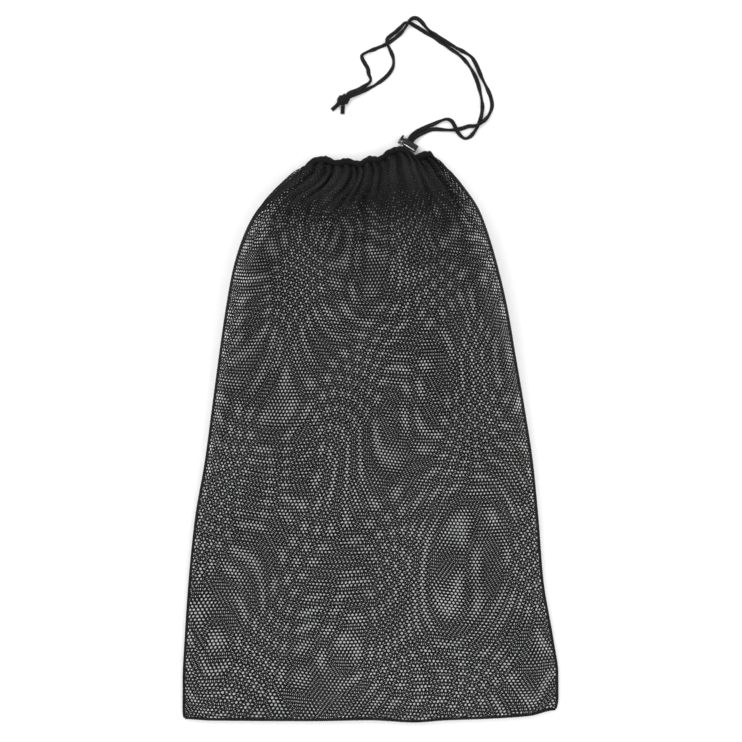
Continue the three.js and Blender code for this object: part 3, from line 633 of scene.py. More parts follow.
@dataclass
class BagForm:
    """Shape of the bag's cloth as it lies, shared by every sewn piece."""

    length: float = 667.0
    half_width: float = 222.0
    crown_rise: float = 64.0
    seam_height: float = 36.0
    cloth_wall: float = 1.2
    rim_bump: float = 13.0
    dome_shape: float = 0.82
    flat_top: float = 0.1
    dome_from: float = 0.3
    rim_fade: float = 70.0
    bottom_step: float = 8.0
    bottom_fade: float = 60.0
    seam_drift: float = 24.0
    pinch: float = 1.32
    fold_depth: float = 9.0
    back_rounding: float = 1.25
    back_fold_depth: float = 3.2
    back_fold_fade: float = 16.0
    fold_start: float = 24.0
    fold_length: float = 95.0
    hem_height: float = 10.0
    flat_width: float = 450.0
    pleats: int = 19
    back_shift: float = 0.37
    gather_from: float = 0.79
    gather_over: float = 0.19
    wave_share: float = 4.44
    plain_ends: tuple = (0.09, 0.1)
    slack: float = 0.5
    samples: int = 1500
    row_of: np.ndarray = field(init=False)
    along_of: np.ndarray = field(init=False)

    def __post_init__(self) -> None:
        """Works out which table row lies at each share along the bag."""
        self.row_of = np.linspace(0, len(SECTIONS) - 1, 6000)
        self.along_of = read_table(np.arange(len(SECTIONS), dtype=float), SECTIONS[:, 0], self.row_of)

    def sizes(self, along: float) -> dict:
        """Sizes of the section at a share along the bag.

        Args:
            along: Share from the bottom seam to the rim.

        Returns:
            Its edges, heights and seam place by name, in millimetres.
        """
        row = np.interp(along, self.along_of, self.row_of)
        keys = np.arange(len(SECTIONS), dtype=float)
        read = {
            name: float(read_table(keys, column, np.array([row]))[0])
            for name, column in zip(SECTION_COLUMNS, SECTIONS.T)
        }
        edge = read["edge"] * self.seam_height
        under = edge - self.pinch
        return {
            "along": along,
            "left": -read["left"] * self.half_width,
            "right": read["right"] * self.half_width,
            "edge": edge,
            "front": edge + self.pinch + read["rise"] * self.crown_rise,
            "back": under - read["sink"] * (under - self.cloth_wall / 2),
            "drift": read["drift"] * self.seam_drift,
        }

    def swell(self, x: np.ndarray, along: float) -> np.ndarray:
        """Rise of the front cloth from its swells, which die out at the seams."""
        total = sum(
            rise * bell((x / self.half_width - at) / wide) * bell((along - place) / long)
            for at, place, wide, long, rise in SWELLS
        )
        return total * self.crown_rise

    def fold(self, s: np.ndarray, along: float) -> np.ndarray:
        """Depth of the folds below the hem at share s across, as a share of the fold depth."""
        below = (1 - along) * self.length
        total = sum(
            deep * bell((s - at) / wide) * bell(below / (long * self.fold_length))
            for at, deep, wide, long in FOLDS
        )
        return total * smooth(np.asarray((below - self.hem_height) / self.fold_start))

    def loop(self, along: float) -> tuple[dict, np.ndarray, np.ndarray, float]:
        """Closed loop of the cloth's middle surface at one share along the bag.

        Args:
            along: Share from the bottom seam to the rim.

        Returns:
            The section's sizes, the loop's x and z with the first point repeated at the end, their lengths
            round the loop, and the length of the front part.
        """
        size = self.sizes(along)
        middle, half = (size["left"] + size["right"]) / 2, (size["right"] - size["left"]) / 2
        raised = size["front"] - size["edge"] - self.pinch
        opening = float(np.clip(raised / (self.dome_from * self.crown_rise), 0, 1))
        turn = np.linspace(0, math.pi, self.samples + 1)
        s = -np.cos(turn)
        dome = np.sin(turn).clip(0) ** (self.flat_top + (self.dome_shape - self.flat_top) * opening)
        x = middle + half * s
        bumps = self.swell(x, along) * opening * dome
        folds = self.fold_depth * self.fold(s, along) * dome
        z = size["edge"] + (size["front"] - size["edge"]) * dome + bumps - folds
        rounding = min(half * 0.5, (size["edge"] - size["back"]) * self.back_rounding + 2)
        s = np.cos(turn[1:])
        inside = np.minimum(1, half * (1 - np.abs(s)) / rounding)
        drop = np.sqrt(np.clip(1 - (1 - inside) ** 2, 0, 1))
        at_rim = float(bell(np.asarray((1 - along) * self.back_fold_fade)))
        back_fold = self.back_fold_depth * self.fold(s, along) * drop * (1 - at_rim)
        back = size["edge"] - (size["edge"] - size["back"]) * drop + back_fold
        points = np.stack([np.concatenate([x, middle + half * s]), np.concatenate([z, back])], axis=1)
        lengths = lengths_along(points)
        return size, points, lengths, float(lengths[self.samples])

    def place_y(self, x: np.ndarray, size: dict) -> np.ndarray:
        """Place along the bag of a point of a section, with the rim's bumps and the bottom's slant."""
        share = np.clip((x - size["left"]) / (size["right"] - size["left"]), 0, 1)
        from_rim = (1 - size["along"]) * self.length
        from_bottom = size["along"] * self.length
        rim = read_table(*RIM_LINE.T, share) * self.rim_bump * math.exp(-((from_rim / self.rim_fade) ** 2))
        bottom = read_table(*BOTTOM_LINE.T, share) * self.bottom_step
        bottom *= math.exp(-((from_bottom / self.bottom_fade) ** 2))
        return (size["along"] - 0.5) * self.length + rim + bottom

    def at_length(self, along: float, length: np.ndarray) -> np.ndarray:
        """Points of the loop at lengths round it, as rows of x, y and z."""
        size, points, lengths, _ = self.loop(along)
        x, z = read_line(np.mod(length, lengths[-1]), lengths, points).T
        return np.stack([x, self.place_y(x, size), z], axis=-1)

    def pleated_row(self, side: Side, along: float, columns: int) -> np.ndarray:
        """One row of a panel's cloth with its pleats, at even lengths of cloth.

        Args:
            side: Which face of the bag.
            along: Share from the bottom seam to the rim.
            columns: Points in the row.

        Returns:
            Points from the left seam to the right seam, as rows of x, y and z.
        """
        size, points, lengths, front = self.loop(along)
        left = size["drift"]
        shares = np.linspace(0, 1, self.samples)
        if side is Side.FRONT:
            at = left + self.pinch + shares * (front - left - 2 * self.pinch)
        else:
            at = left - self.pinch - shares * (lengths[-1] - front + left - 2 * self.pinch)
        x, z = read_line(np.mod(at, lengths[-1]), lengths, points).T
        run = abs(at[-1] - at[0])
        dx, dz = np.gradient(x), np.gradient(z)
        scale = np.maximum(np.hypot(dx, dz), 1e-9)
        over = (-dz / scale * side.value, dx / scale * side.value)
        wave = self.pleat_wave(shares, along, run, side)
        x = x + over[0] * wave
        z = np.maximum(z + over[1] * wave, self.cloth_wall / 2)
        row = np.stack([x, self.place_y(x, size), z], axis=1)
        cloth = np.concatenate([[0], np.cumsum(np.hypot(np.diff(x), np.diff(z)))])
        return read_line(np.linspace(0, cloth[-1], columns), cloth, row)

    def pleat_wave(self, shares: np.ndarray, along: float, run: float, side: Side) -> np.ndarray:
        """Height of the pleats across one row, deep enough to take up the cloth's spare width.

        Args:
            shares: Shares across the row.
            along: Share from the bottom seam to the rim.
            run: Length of the row without pleats.
            side: Which face of the bag.

        Returns:
            Heights over the middle surface, in millimetres.
        """
        shift = 0.0 if side is Side.FRONT else self.back_shift
        warp = shares + 0.011 * sine(2.3 * shares + 0.1 + shift) + 0.006 * sine(5.7 * shares + shift)
        phase = 2 * math.pi * self.pleats * warp + 5 * shift
        gathered = float(smooth(np.asarray((along - self.gather_from) / self.gather_over)))
        spare = max((self.flat_width / run) ** 2 - 1, 0) ** 0.5
        deep = run / self.pleats / self.wave_share * spare * gathered
        uneven = 0.78 + 0.22 * sine(3.1 * shares + 0.7 + shift) * sine(7.3 * shares + shift)
        reach = 0.5 + 0.5 * np.sin(2 * math.pi * (4.7 * shares + 0.2 + 2 * shift) + 3 * np.sin(9 * shares))
        fade = np.clip(gathered * 1.6 - 0.6 * reach, 0, 1)
        ends = smooth(shares / self.plain_ends[0]) * smooth((1 - shares) / self.plain_ends[1])
        wave = np.sin(phase) + 0.2 * np.sin(2 * phase + 1.1)
        slack = self.slack * sine(3.3 * shares + 2.1 * along) * sine(1.7 * along + shift)
        return (deep * uneven * fade * wave + slack) * ends


# Net


@dataclass
class Net:
    """Open knitted net with six-sided holes, laid on a carrier surface."""

    pitch: float = 4.7
    row: float = 3.85
    point_rise: float = 2.6
    strand: float = 1.45
    thick: float = 0.46
    jitter: float = 0.7
    jitter_scale: float = 160.0
    past_side: float = 0.02
    trim: float = 0.0005
    merge: float = 0.02

    def hole(self) -> Object:
        """Builds one hole's ring of half strands, the unit that the tree repeats."""
        half, low = self.pitch / 2, self.row - self.point_rise
        tip = self.point_rise
        outer = np.array([(half, -low), (half, low), (0, tip), (-half, low), (-half, -low), (0, -tip)])
        edges = np.roll(outer, -1, axis=0) - outer
        normals = unit(np.stack([edges[:, 1], -edges[:, 0]], axis=1))
        inner = []
        for k, corner in enumerate(outer):
            sides = normals[[k - 1, k]]
            inner.append(np.linalg.solve(sides, sides @ corner - self.strand / 2))
        levels = ((outer, self.thick / 2), (inner, 0.0), (outer, -self.thick / 2))
        ring = [(*p, height) for points, height in levels for p in points]
        faces = []
        for k in range(6):
            j = (k + 1) % 6
            faces += [(k, j, 6 + j, 6 + k), (12 + j, 12 + k, 6 + k, 6 + j)]
        hole = mesh_object("net_hole", np.array(ring) * MM, faces)
        lip = np.repeat([0.0, 1.0, 0.0], 6)
        hole.data.attributes.new("lip", "FLOAT", "POINT").data.foreach_set("value", lip)
        return hole

    def tree(self) -> NodeTree:
        """Builds the tree that repeats the hole over flat cloth and lays the cloth on its carrier."""
        t = Tree("net_of_holes")
        (hole,) = t.add_inputs("Object", "Hole")
        columns, rows = t.add_inputs("Int", "Columns", "Rows")
        first_column, first_row = t.add_inputs("Int", "First column", "First row")
        pitch, row, wide, long, start, end, turn, jitter = t.add_inputs(
            "Float", "Pitch", "Row", "Flat width", "Flat length", "Start", "End", "Turn", "Jitter"
        )

        # One point for each hole, in staggered rows on the flat cloth.
        points = t.node("Points", {"Count": t.times(columns, rows)}).outputs[0]
        index = t.node("InputIndex").outputs[0]
        column = t.plus(t.math("MODULO", index, columns), first_column)
        line = t.math("FLOOR", t.over(t.plus(index, 0.5), columns))
        line = t.plus(line, first_row)
        stagger = t.times(t.math("FLOORED_MODULO", line, 2.0), 0.5)
        x = t.times(t.plus(column, stagger), pitch)
        on_knit = t.vector(x, t.times(line, row), 0.0)
        links = {"Vector": on_knit, "Angle": turn}
        turned = t.node("ShaderNodeVectorRotate", links, rotation_type="Z_AXIS").outputs[0]
        middle = t.vector(t.times(wide, 0.5), t.times(long, 0.5), 0.0)
        placed = t.store(t.moved(points, t.joined(turned, middle)), "centre", t.position())
        u, v = t.shares(t.position(), wide, long)
        beyond = t.any_of(
            t.under(v, start),
            t.above(v, end),
            t.under(u, -self.past_side),
            t.above(u, 1 + self.past_side),
        )
        copies = t.copies(t.without(placed, beyond), hole, t.vector(0.0, 0.0, turn))
        net = t.node("RealizeInstances", {0: copies}).outputs[0]
        net = t.node("MergeByDistance", {"Geometry": net, "Distance": self.merge * MM}).outputs[0]

        # Each hole opens as far as the carrier says there, and its threads wander a little.
        centre = t.named("centre")
        u, v = t.shares(centre, wide, long)
        opened = self.on_carrier(t, t.named("open", "FLOAT"), t.vector(u, v, 0.0), "FLOAT")
        narrowed = t.times(t.named("lip", "FLOAT"), t.math("SUBTRACT", opened, 1.0))
        arm = t.between(t.position(), centre)
        drawn = t.joined(centre, t.scaled(arm, t.plus(1.0, narrowed)))
        noise = t.node("ShaderNodeTexNoise", {"Vector": t.position(), "Scale": self.jitter_scale}).outputs["Color"]
        uneven = t.scaled(t.between(noise, t.vector(0.5, 0.5, 0.5)), jitter)
        uneven = t.vector_math("MULTIPLY", uneven, t.vector(1.0, 1.0, 0.0))
        net = t.moved(net, t.joined(drawn, uneven))
        u, v = t.shares(t.position(), wide, long)
        low = [t.under(w, self.trim) for w in (u, v)]
        high = [t.above(w, 1 - self.trim) for w in (u, v)]
        kept = t.without(net, t.any_of(*low, *high))

        # The flat net is laid on the carrier.
        spot = t.vector(u, v, 0.0)
        place = self.on_carrier(t, t.position(), spot, "FLOAT_VECTOR")
        out = self.on_carrier(t, t.named("out"), spot, "FLOAT_VECTOR")
        height = t.parts(t.position())[2]
        return t.finish(t.moved(kept, t.joined(place, t.scaled(out, height))))

    def on_carrier(self, t: Tree, value: Socket, spot: Socket, kind: str) -> Socket:
        """Reads a value of the carrier at a place on the flat cloth."""
        uv_map = t.named("flat")
        sample = t.node("SampleUVSurface", data_type=kind)
        sources = {"Mesh": t.source, "Value": value, "UV Map": uv_map, "Source UV Map": uv_map, "Sample UV": spot}
        for socket in sample.inputs:
            if socket.enabled and socket.name in sources:
                t.group.links.new(sources[socket.name], socket)
        return sample.outputs[0]

    def lay(
        self, name: str, carrier: Object, flat: tuple, strip: tuple, finish: Material, turn: float = 0.0
    ) -> Object:
        """Covers part of a carrier with net.

        Args:
            name: Name of the piece.
            carrier: Surface with the UV map flat and the attributes out and open.
            flat: Width and length of the cloth, in millimetres.
            strip: Start and end of the part along the cloth, as shares.
            finish: Its material.
            turn: Skew of the knit on the cloth, in radians.

        Returns:
            The net as a plain mesh.
        """
        tree = bpy.data.node_groups.get("net_of_holes") or self.tree()
        hole = bpy.data.objects.get("net_hole") or self.hole()
        source = bpy.data.objects.new(f"{name}_source", carrier.data)
        bpy.context.scene.collection.objects.link(source)
        across = (-flat[0] / 2, flat[0] / 2)
        corners = np.array([(x, (share - 0.5) * flat[1], 0.0) for x in across for share in strip])
        xs, ys, _ = turned_by(corners, -turn).T
        first_column, first_row = math.floor(min(xs) / self.pitch) - 2, math.floor(min(ys) / self.row) - 1
        values = {
            "Finish": finish,
            "Hole": hole,
            "Pitch": self.pitch * MM,
            "Row": self.row * MM,
            "Columns": math.ceil(max(xs) / self.pitch) + 2 - first_column,
            "Rows": math.ceil(max(ys) / self.row) + 2 - first_row,
            "First column": first_column,
            "First row": first_row,
            "Flat width": flat[0] * MM,
            "Flat length": flat[1] * MM,
            "Start": strip[0] if strip[0] > 0 else -1.0,
            "End": strip[1] if strip[1] < 1 else 2.0,
            "Turn": turn,
            "Jitter": self.jitter * MM,
        }
        return run_tree(source, tree, values, name)


def carrier_surface(
    name: str, points: np.ndarray, out: np.ndarray, flat: np.ndarray, opened: np.ndarray
) -> Object:
    """Makes a surface for net to lie on.

    Args:
        name: Name of the surface.
        points: Grid of points, as rows, columns and x, y and z, in metres.
        out: Outward direction at each point.
        flat: Place of each point on the flat cloth, as shares of its width and length.
        opened: How far the holes stand open at each point, from 0 to 1.

    Returns:
        The surface, with the UV map flat and the attributes out and open.
    """
    rows, columns = points.shape[:2]
    obj = mesh_object(name, points.reshape(-1, 3), grid_faces(rows, columns))
    mesh = obj.data
    for label, kind, key, values in (("out", "FLOAT_VECTOR", "vector", out), ("open", "FLOAT", "value", opened)):
        data = mesh.attributes.new(label, kind, "POINT").data
        data.foreach_set(key, values.reshape(-1).astype(np.float32))
    corners = np.empty(len(mesh.loops), dtype=np.int64)
    mesh.loops.foreach_get("vertex_index", corners)
    layer = mesh.uv_layers.new(name="flat")
    layer.data.foreach_set("uv", flat.reshape(-1, 2)[corners].reshape(-1).astype(np.float32))
    return obj


@dataclass
class Panels:
    """Front and back faces of the bag, each one cloth of net that is built in strips."""

    form: BagForm
    net: Net
    finish: Material
    columns: int = 420
    row_step: float = 3.0
    top_margin: float = 7.5
    foot_rows: tuple = (0.006, 6)
    strips: tuple = ("lower", "middle", "upper")
    wander: float = 4.0
    plain_edge: float = 0.08
    skew: tuple = (2.0, -7.0)
    closing: float = 0.85
    closing_from: float = 0.86
    closing_over: float = 0.1
    shoulders: tuple = (0.16, 0.2)

    def surface(self, side: Side) -> tuple[Object, float]:
        """Builds the carrier of one face.

        Args:
            side: Which face.

        Returns:
            The carrier, and the length of its cloth in millimetres.
        """
        top = 1 - self.top_margin / self.form.length
        foot = np.linspace(0, self.foot_rows[0], self.foot_rows[1])[:-1]
        above = np.linspace(self.foot_rows[0], top, round(self.form.length / self.row_step))
        places = np.concatenate([foot, above])
        rows = np.stack([self.form.pleated_row(side, float(place), self.columns) for place in places])
        steps = np.linalg.norm(np.diff(rows, axis=0), axis=2).mean(axis=1)
        lengths = np.concatenate([[0], np.cumsum(steps)])
        out = unit(np.cross(np.gradient(rows, axis=1), np.gradient(rows, axis=0))) * side.value
        share = np.linspace(0, 1, self.columns)
        u, v = np.broadcast_arrays(share[None, :], (lengths / lengths[-1])[:, None])
        eased = (self.ease(u, v, side, self.form.flat_width), self.ease(v, u, side, lengths[-1]))
        flat = np.stack([u + eased[0], v + eased[1]], axis=2)
        room = np.linalg.norm(np.diff(rows, axis=1), axis=2).sum(axis=1) / self.form.flat_width
        strand = self.net.strand / self.net.pitch
        stretched = np.clip((1 - strand / room) / (1 - strand), 0.05, 1)
        middle = smooth(share / self.shoulders[0]) * smooth((1 - share) / self.shoulders[1])
        drawn_in = smooth((places - self.closing_from) / self.closing_over)[:, None]
        bunched = self.closing * drawn_in * (0.12 + 0.88 * middle[None, :])
        opened = np.sqrt(stretched[:, None] * (1 - bunched))
        return carrier_surface(f"{side.name.lower()}_carrier", rows * MM, out, flat, opened), float(lengths[-1])

    def ease(self, share: np.ndarray, other: np.ndarray, side: Side, span: float) -> np.ndarray:
        """Slow wander of the knit's lines in one direction, as a share of the cloth, with none at its edges."""
        shift = 0.3 if side is Side.FRONT else 1.7
        slow = np.sin(2 * math.pi * (1.3 * share + 2.2 * other) + shift)
        slow += 0.6 * np.sin(2 * math.pi * (3.1 * other - 1.9 * share) + 2 * shift)
        return self.wander / span * slow * smooth(share / self.plain_edge) * smooth((1 - share) / self.plain_edge)

    def build(self) -> None:
        """Builds both faces in strips across the bag."""
        count = len(self.strips)
        for side, skew in zip(Side, self.skew):
            face = side.name.lower()
            carrier, length = self.surface(side)
            for k, word in enumerate(self.strips):
                strip = (k / count, (k + 1) / count)
                cloth = (self.form.flat_width, length)
                piece = self.net.lay(f"{face}_net_{word}", carrier, cloth, strip, self.finish, math.radians(skew))
                dress(piece, f"{face}_panel")
            bpy.data.objects.remove(carrier)


# Thread


@dataclass
class Thread:
    """Sewing thread laid along a path."""

    finish: Material
    radius: float = 0.26
    sides: int = 4

    def tree(self) -> NodeTree:
        """Builds the tree that sweeps a round thread along a path."""
        t = Tree("sewing_thread")
        (radius,), (sides,) = t.add_inputs("Float", "Radius"), t.add_inputs("Int", "Sides")
        return t.finish(t.swept(t.node("MeshToCurve", {0: t.source}).outputs[0], sides, radius))

    def sew(self, name: str, path: np.ndarray) -> Object:
        """Lays thread along a path in millimetres and returns it as a plain mesh."""
        tree = bpy.data.node_groups.get("sewing_thread") or self.tree()
        values = {"Finish": self.finish, "Radius": self.radius * MM, "Sides": self.sides}
        return run_tree(line_object(name, path), tree, values, name)


# Hem


@dataclass
class Hem:
    """Gathered hem round the mouth: net folded over the cord, with its turned-in edge inside."""

    form: BagForm
    net: Net
    net_finish: Material
    tape_finish: Material
    wall: float = 8.6
    height: float = 10.0
    exit_at: float = 44.0
    exit_opening: float = 15.0
    lobes: int = 43
    lobe_power: float = 0.75
    lobe_size: tuple = (0.72, 0.3)
    end_size: float = 0.45
    end_share: float = 0.02
    sway: float = 0.9
    flatten: float = 0.18
    lowest: float = 0.5
    flat_length: float = 860.0
    flat_round: float = 30.0
    around: int = 28
    steps: int = 900
    fine: int = 4000
    turned_rings: tuple = (320, 13)
    turned_share: float = 0.84
    opened: float = 0.4
    lean: tuple = (1.5, 1.7)
    corner: tuple = (20.0, 4.5)

    def path(self, count: int) -> tuple[np.ndarray, np.ndarray]:
        """Centre line of the hem and its outward directions.

        Args:
            count: Number of points.

        Returns:
            Points from one side of the cord's exit round to the other, and a direction for each.
        """
        along = 1 - self.height / 2 / self.form.length
        _, points, lengths, front = self.form.loop(along)
        back = np.linspace(front, lengths[-1], self.fine)
        x = np.interp(back, lengths, points[:, 0])
        middle = float(np.interp(-self.exit_at, -x, back))
        at = np.linspace(middle + self.exit_opening / 2, middle - self.exit_opening / 2 + lengths[-1], count)
        place = self.form.at_length(along, at)
        round_it = self.form.at_length(along, at + 3) - self.form.at_length(along, at - 3)
        round_it[:, 1] = 0
        return place, unit(np.cross(round_it, np.array([0.0, 1.0, 0.0])))

    def tube(self, shrink: float, count: int, around: int) -> tuple[np.ndarray, np.ndarray]:
        """Rings of the gathered tube.

        Args:
            shrink: Size as a share of the hem's own.
            count: Number of rings.
            around: Points in each ring, the first repeated at the end.

        Returns:
            Points and outward directions, each as rings, points and x, y and z.
        """
        place, out = self.path(count)
        share = np.linspace(0, 1, count)
        warp = share + 0.004 * np.sin(2 * math.pi * 6.3 * share) + 0.002 * np.sin(2 * math.pi * 15.1 * share + 1)
        lobe = np.abs(np.sin(math.pi * self.lobes * warp)) ** self.lobe_power
        uneven = 1 + 0.13 * np.sin(2 * math.pi * 11.3 * share + 0.4) * np.sin(2 * math.pi * 5.1 * share)
        size = shrink * (self.lobe_size[0] + self.lobe_size[1] * lobe) * uneven
        closing = smooth(share / self.end_share) * smooth((1 - share) / self.end_share)
        ends = self.end_size + (1 - self.end_size) * closing
        sway = self.sway * np.sin(2 * math.pi * 17.7 * share) * shrink
        angle = np.linspace(0, 2 * math.pi, around)[None, :]
        flatten = 1 - self.flatten * np.cos(2 * angle) ** 2
        up = np.array([0.0, 1.0, 0.0])
        across = np.cos(angle) * (self.wall / 2) * (size * ends)[:, None] * flatten + sway[:, None]
        high = np.sin(angle) * (self.height / 2) * (0.35 * ends + 0.65 * size * ends)[:, None] * flatten
        points = place[:, None] + across[..., None] * out[:, None] + high[..., None] * up
        lean = np.where(out[:, 0] < 0, self.lean[0], self.lean[1]) * -out[:, 0] * np.abs(out[:, 0]) ** 3
        points[..., 0] += high * lean[:, None]
        right_end = points[..., 0].max() - self.corner[0]
        points[..., 1] -= self.corner[1] * np.clip((points[..., 0] - right_end) / self.corner[0], 0, 1) ** 1.5
        points[..., 2] = np.maximum(points[..., 2], self.lowest)
        normal = unit(np.cos(angle)[..., None] * out[:, None] + np.sin(angle)[..., None] * up)
        return points, normal

    def build(self) -> None:
        """Builds the net of the hem and its turned-in edge."""
        points, normal = self.tube(1.0, self.steps, self.around)
        share = np.linspace(0, 1, self.steps)
        round_share = np.linspace(0, 1, self.around)
        flat = np.stack(np.broadcast_arrays(share[:, None], round_share[None, :]), axis=2)
        opened = np.full(points.shape[:2], self.opened)
        carrier = carrier_surface("hem_carrier", points * MM, normal, flat, opened)
        outer = self.net.lay("hem_net", carrier, (self.flat_length, self.flat_round), (0, 1), self.net_finish)
        bpy.data.objects.remove(carrier)
        points = self.tube(self.turned_share, *self.turned_rings)[0][:, :-1]
        faces = grid_faces(*points.shape[:2], wrap=True)
        inner = mesh_object("hem_turned_edge", points.reshape(-1, 3) * MM, faces, self.tape_finish)
        dress(outer, "mouth_hem")
        dress(inner, "mouth_hem")


# Seams


@dataclass
class Seams:
    """Turned-in and overlocked edges along both sides and the bottom."""

    form: BagForm
    finish: Material
    wall: float = 1.3
    inside: float = 2.2
    spread: float = 3.0
    bead: float = 0.9
    step: float = 2.0
    stitch: float = 2.8
    thread: float = 0.26
    turn_points: int = 8
    starts: tuple = (0.001, 0.002)
    below_rim: float = 9.0
    ripple: float = 0.12
    past_ends: tuple = (0.9, 0.6)

    def side_frames(self, at_left: bool) -> tuple[np.ndarray, np.ndarray, np.ndarray, np.ndarray]:
        """Middle line of a side seam from the bottom to the hem.

        Args:
            at_left: Whether it is the left seam.

        Returns:
            Points, outward directions, directions square to the seam's flat, and depths of its allowance.
        """
        start, top = self.starts[0 if at_left else 1], 1 - self.below_rim / self.form.length
        shares = np.linspace(start, top, round(self.form.length * (top - start) / self.step))
        middles, overs, depths = [], [], []
        for along in shares:
            size, _, _, front_length = self.form.loop(float(along))
            at = size["drift"] if at_left else front_length
            a = self.form.at_length(float(along), np.array([at - self.form.pinch, at, at + self.form.pinch]))
            overs.append(unit(a[2] - a[0]) * (1 if at_left else -1))
            middles.append((a[0] + a[2]) / 2)
            depths.append(self.inside + self.spread * size["drift"] / self.form.seam_drift * at_left)
        middles, overs = np.array(middles), np.array(overs)
        outs = unit(np.cross(overs, unit(np.gradient(middles, axis=0))))
        if outs[len(outs) // 2][0] * (-1 if at_left else 1) < 0:
            outs = -outs
        return middles, outs, overs, np.array(depths)

    def bottom_frames(self) -> tuple[np.ndarray, np.ndarray, np.ndarray, np.ndarray]:
        """Middle line of the bottom seam from left to right, as in side_frames."""
        size = self.form.sizes(0.0)
        ends = size["left"] - self.past_ends[0], size["right"] + self.past_ends[1]
        x = np.linspace(*ends, round(2 * self.form.half_width / self.step))
        middles = np.stack([x, self.form.place_y(x, size), np.full_like(x, size["edge"])], axis=1)
        _, outs, overs = np.broadcast_arrays(middles, np.array([0.0, -1.0, 0.0]), UP)
        return middles, outs, overs, np.full(len(x), self.inside)

    def strip(self, frames: tuple) -> np.ndarray:
        """Rings of the folded cloth edge along a seam, as rings, points and x, y and z."""
        middles, outs, overs, depths = frames
        ripple = self.ripple * np.sin(np.arange(len(middles)) * 2.1)
        # Share of the fold's depth and share of its thickness, from its rounded edge inwards.
        profile = ((0.0, 0.5), (0.3, 1.0), (0.75, 0.8), (1.0, 0.5))
        rings = []
        for sign, half in ((1, profile), (-1, profile[::-1])):
            for share, wide in half:
                depth = self.bead - share * (self.bead + depths) + sign * ripple
                rings.append(middles + outs * depth[:, None] + overs * (sign * wide * self.wall / 2))
        return np.stack(rings, axis=1)

    def stitches(self, frames: tuple) -> np.ndarray:
        """Path of the thread that is cast over a seam's edge, turn after turn."""
        middles, outs, overs, depths = frames
        lengths = lengths_along(middles)
        turns = int(lengths[-1] / self.stitch)
        at = np.linspace(0, lengths[-1], turns * self.turn_points)
        place, outs, overs = (read_line(at, lengths, v) for v in (middles, outs, overs))
        depth = np.interp(at, lengths, depths)
        phase = 2 * math.pi * np.arange(len(at)) / self.turn_points
        reach = (self.bead + depth) / 2 + 0.25
        out = (self.bead - depth) / 2 + reach * np.cos(phase)
        over = (self.wall / 2 + self.thread * 0.7) * np.sin(phase)
        return place + outs * out[:, None] + overs * over[:, None]

    def build(self) -> None:
        """Builds the three seams."""
        seams = {
            "left_seam": self.side_frames(True),
            "right_seam": self.side_frames(False),
            "bottom_seam": self.bottom_frames(),
        }
        for node, frames in seams.items():
            dress(closed_tube(f"{node}_folded_edge", self.strip(frames), self.finish), node)
            sewn = Thread(self.finish, self.thread).sew(f"{node}_overlock", self.stitches(frames))
            dress(sewn, node)


# Cord


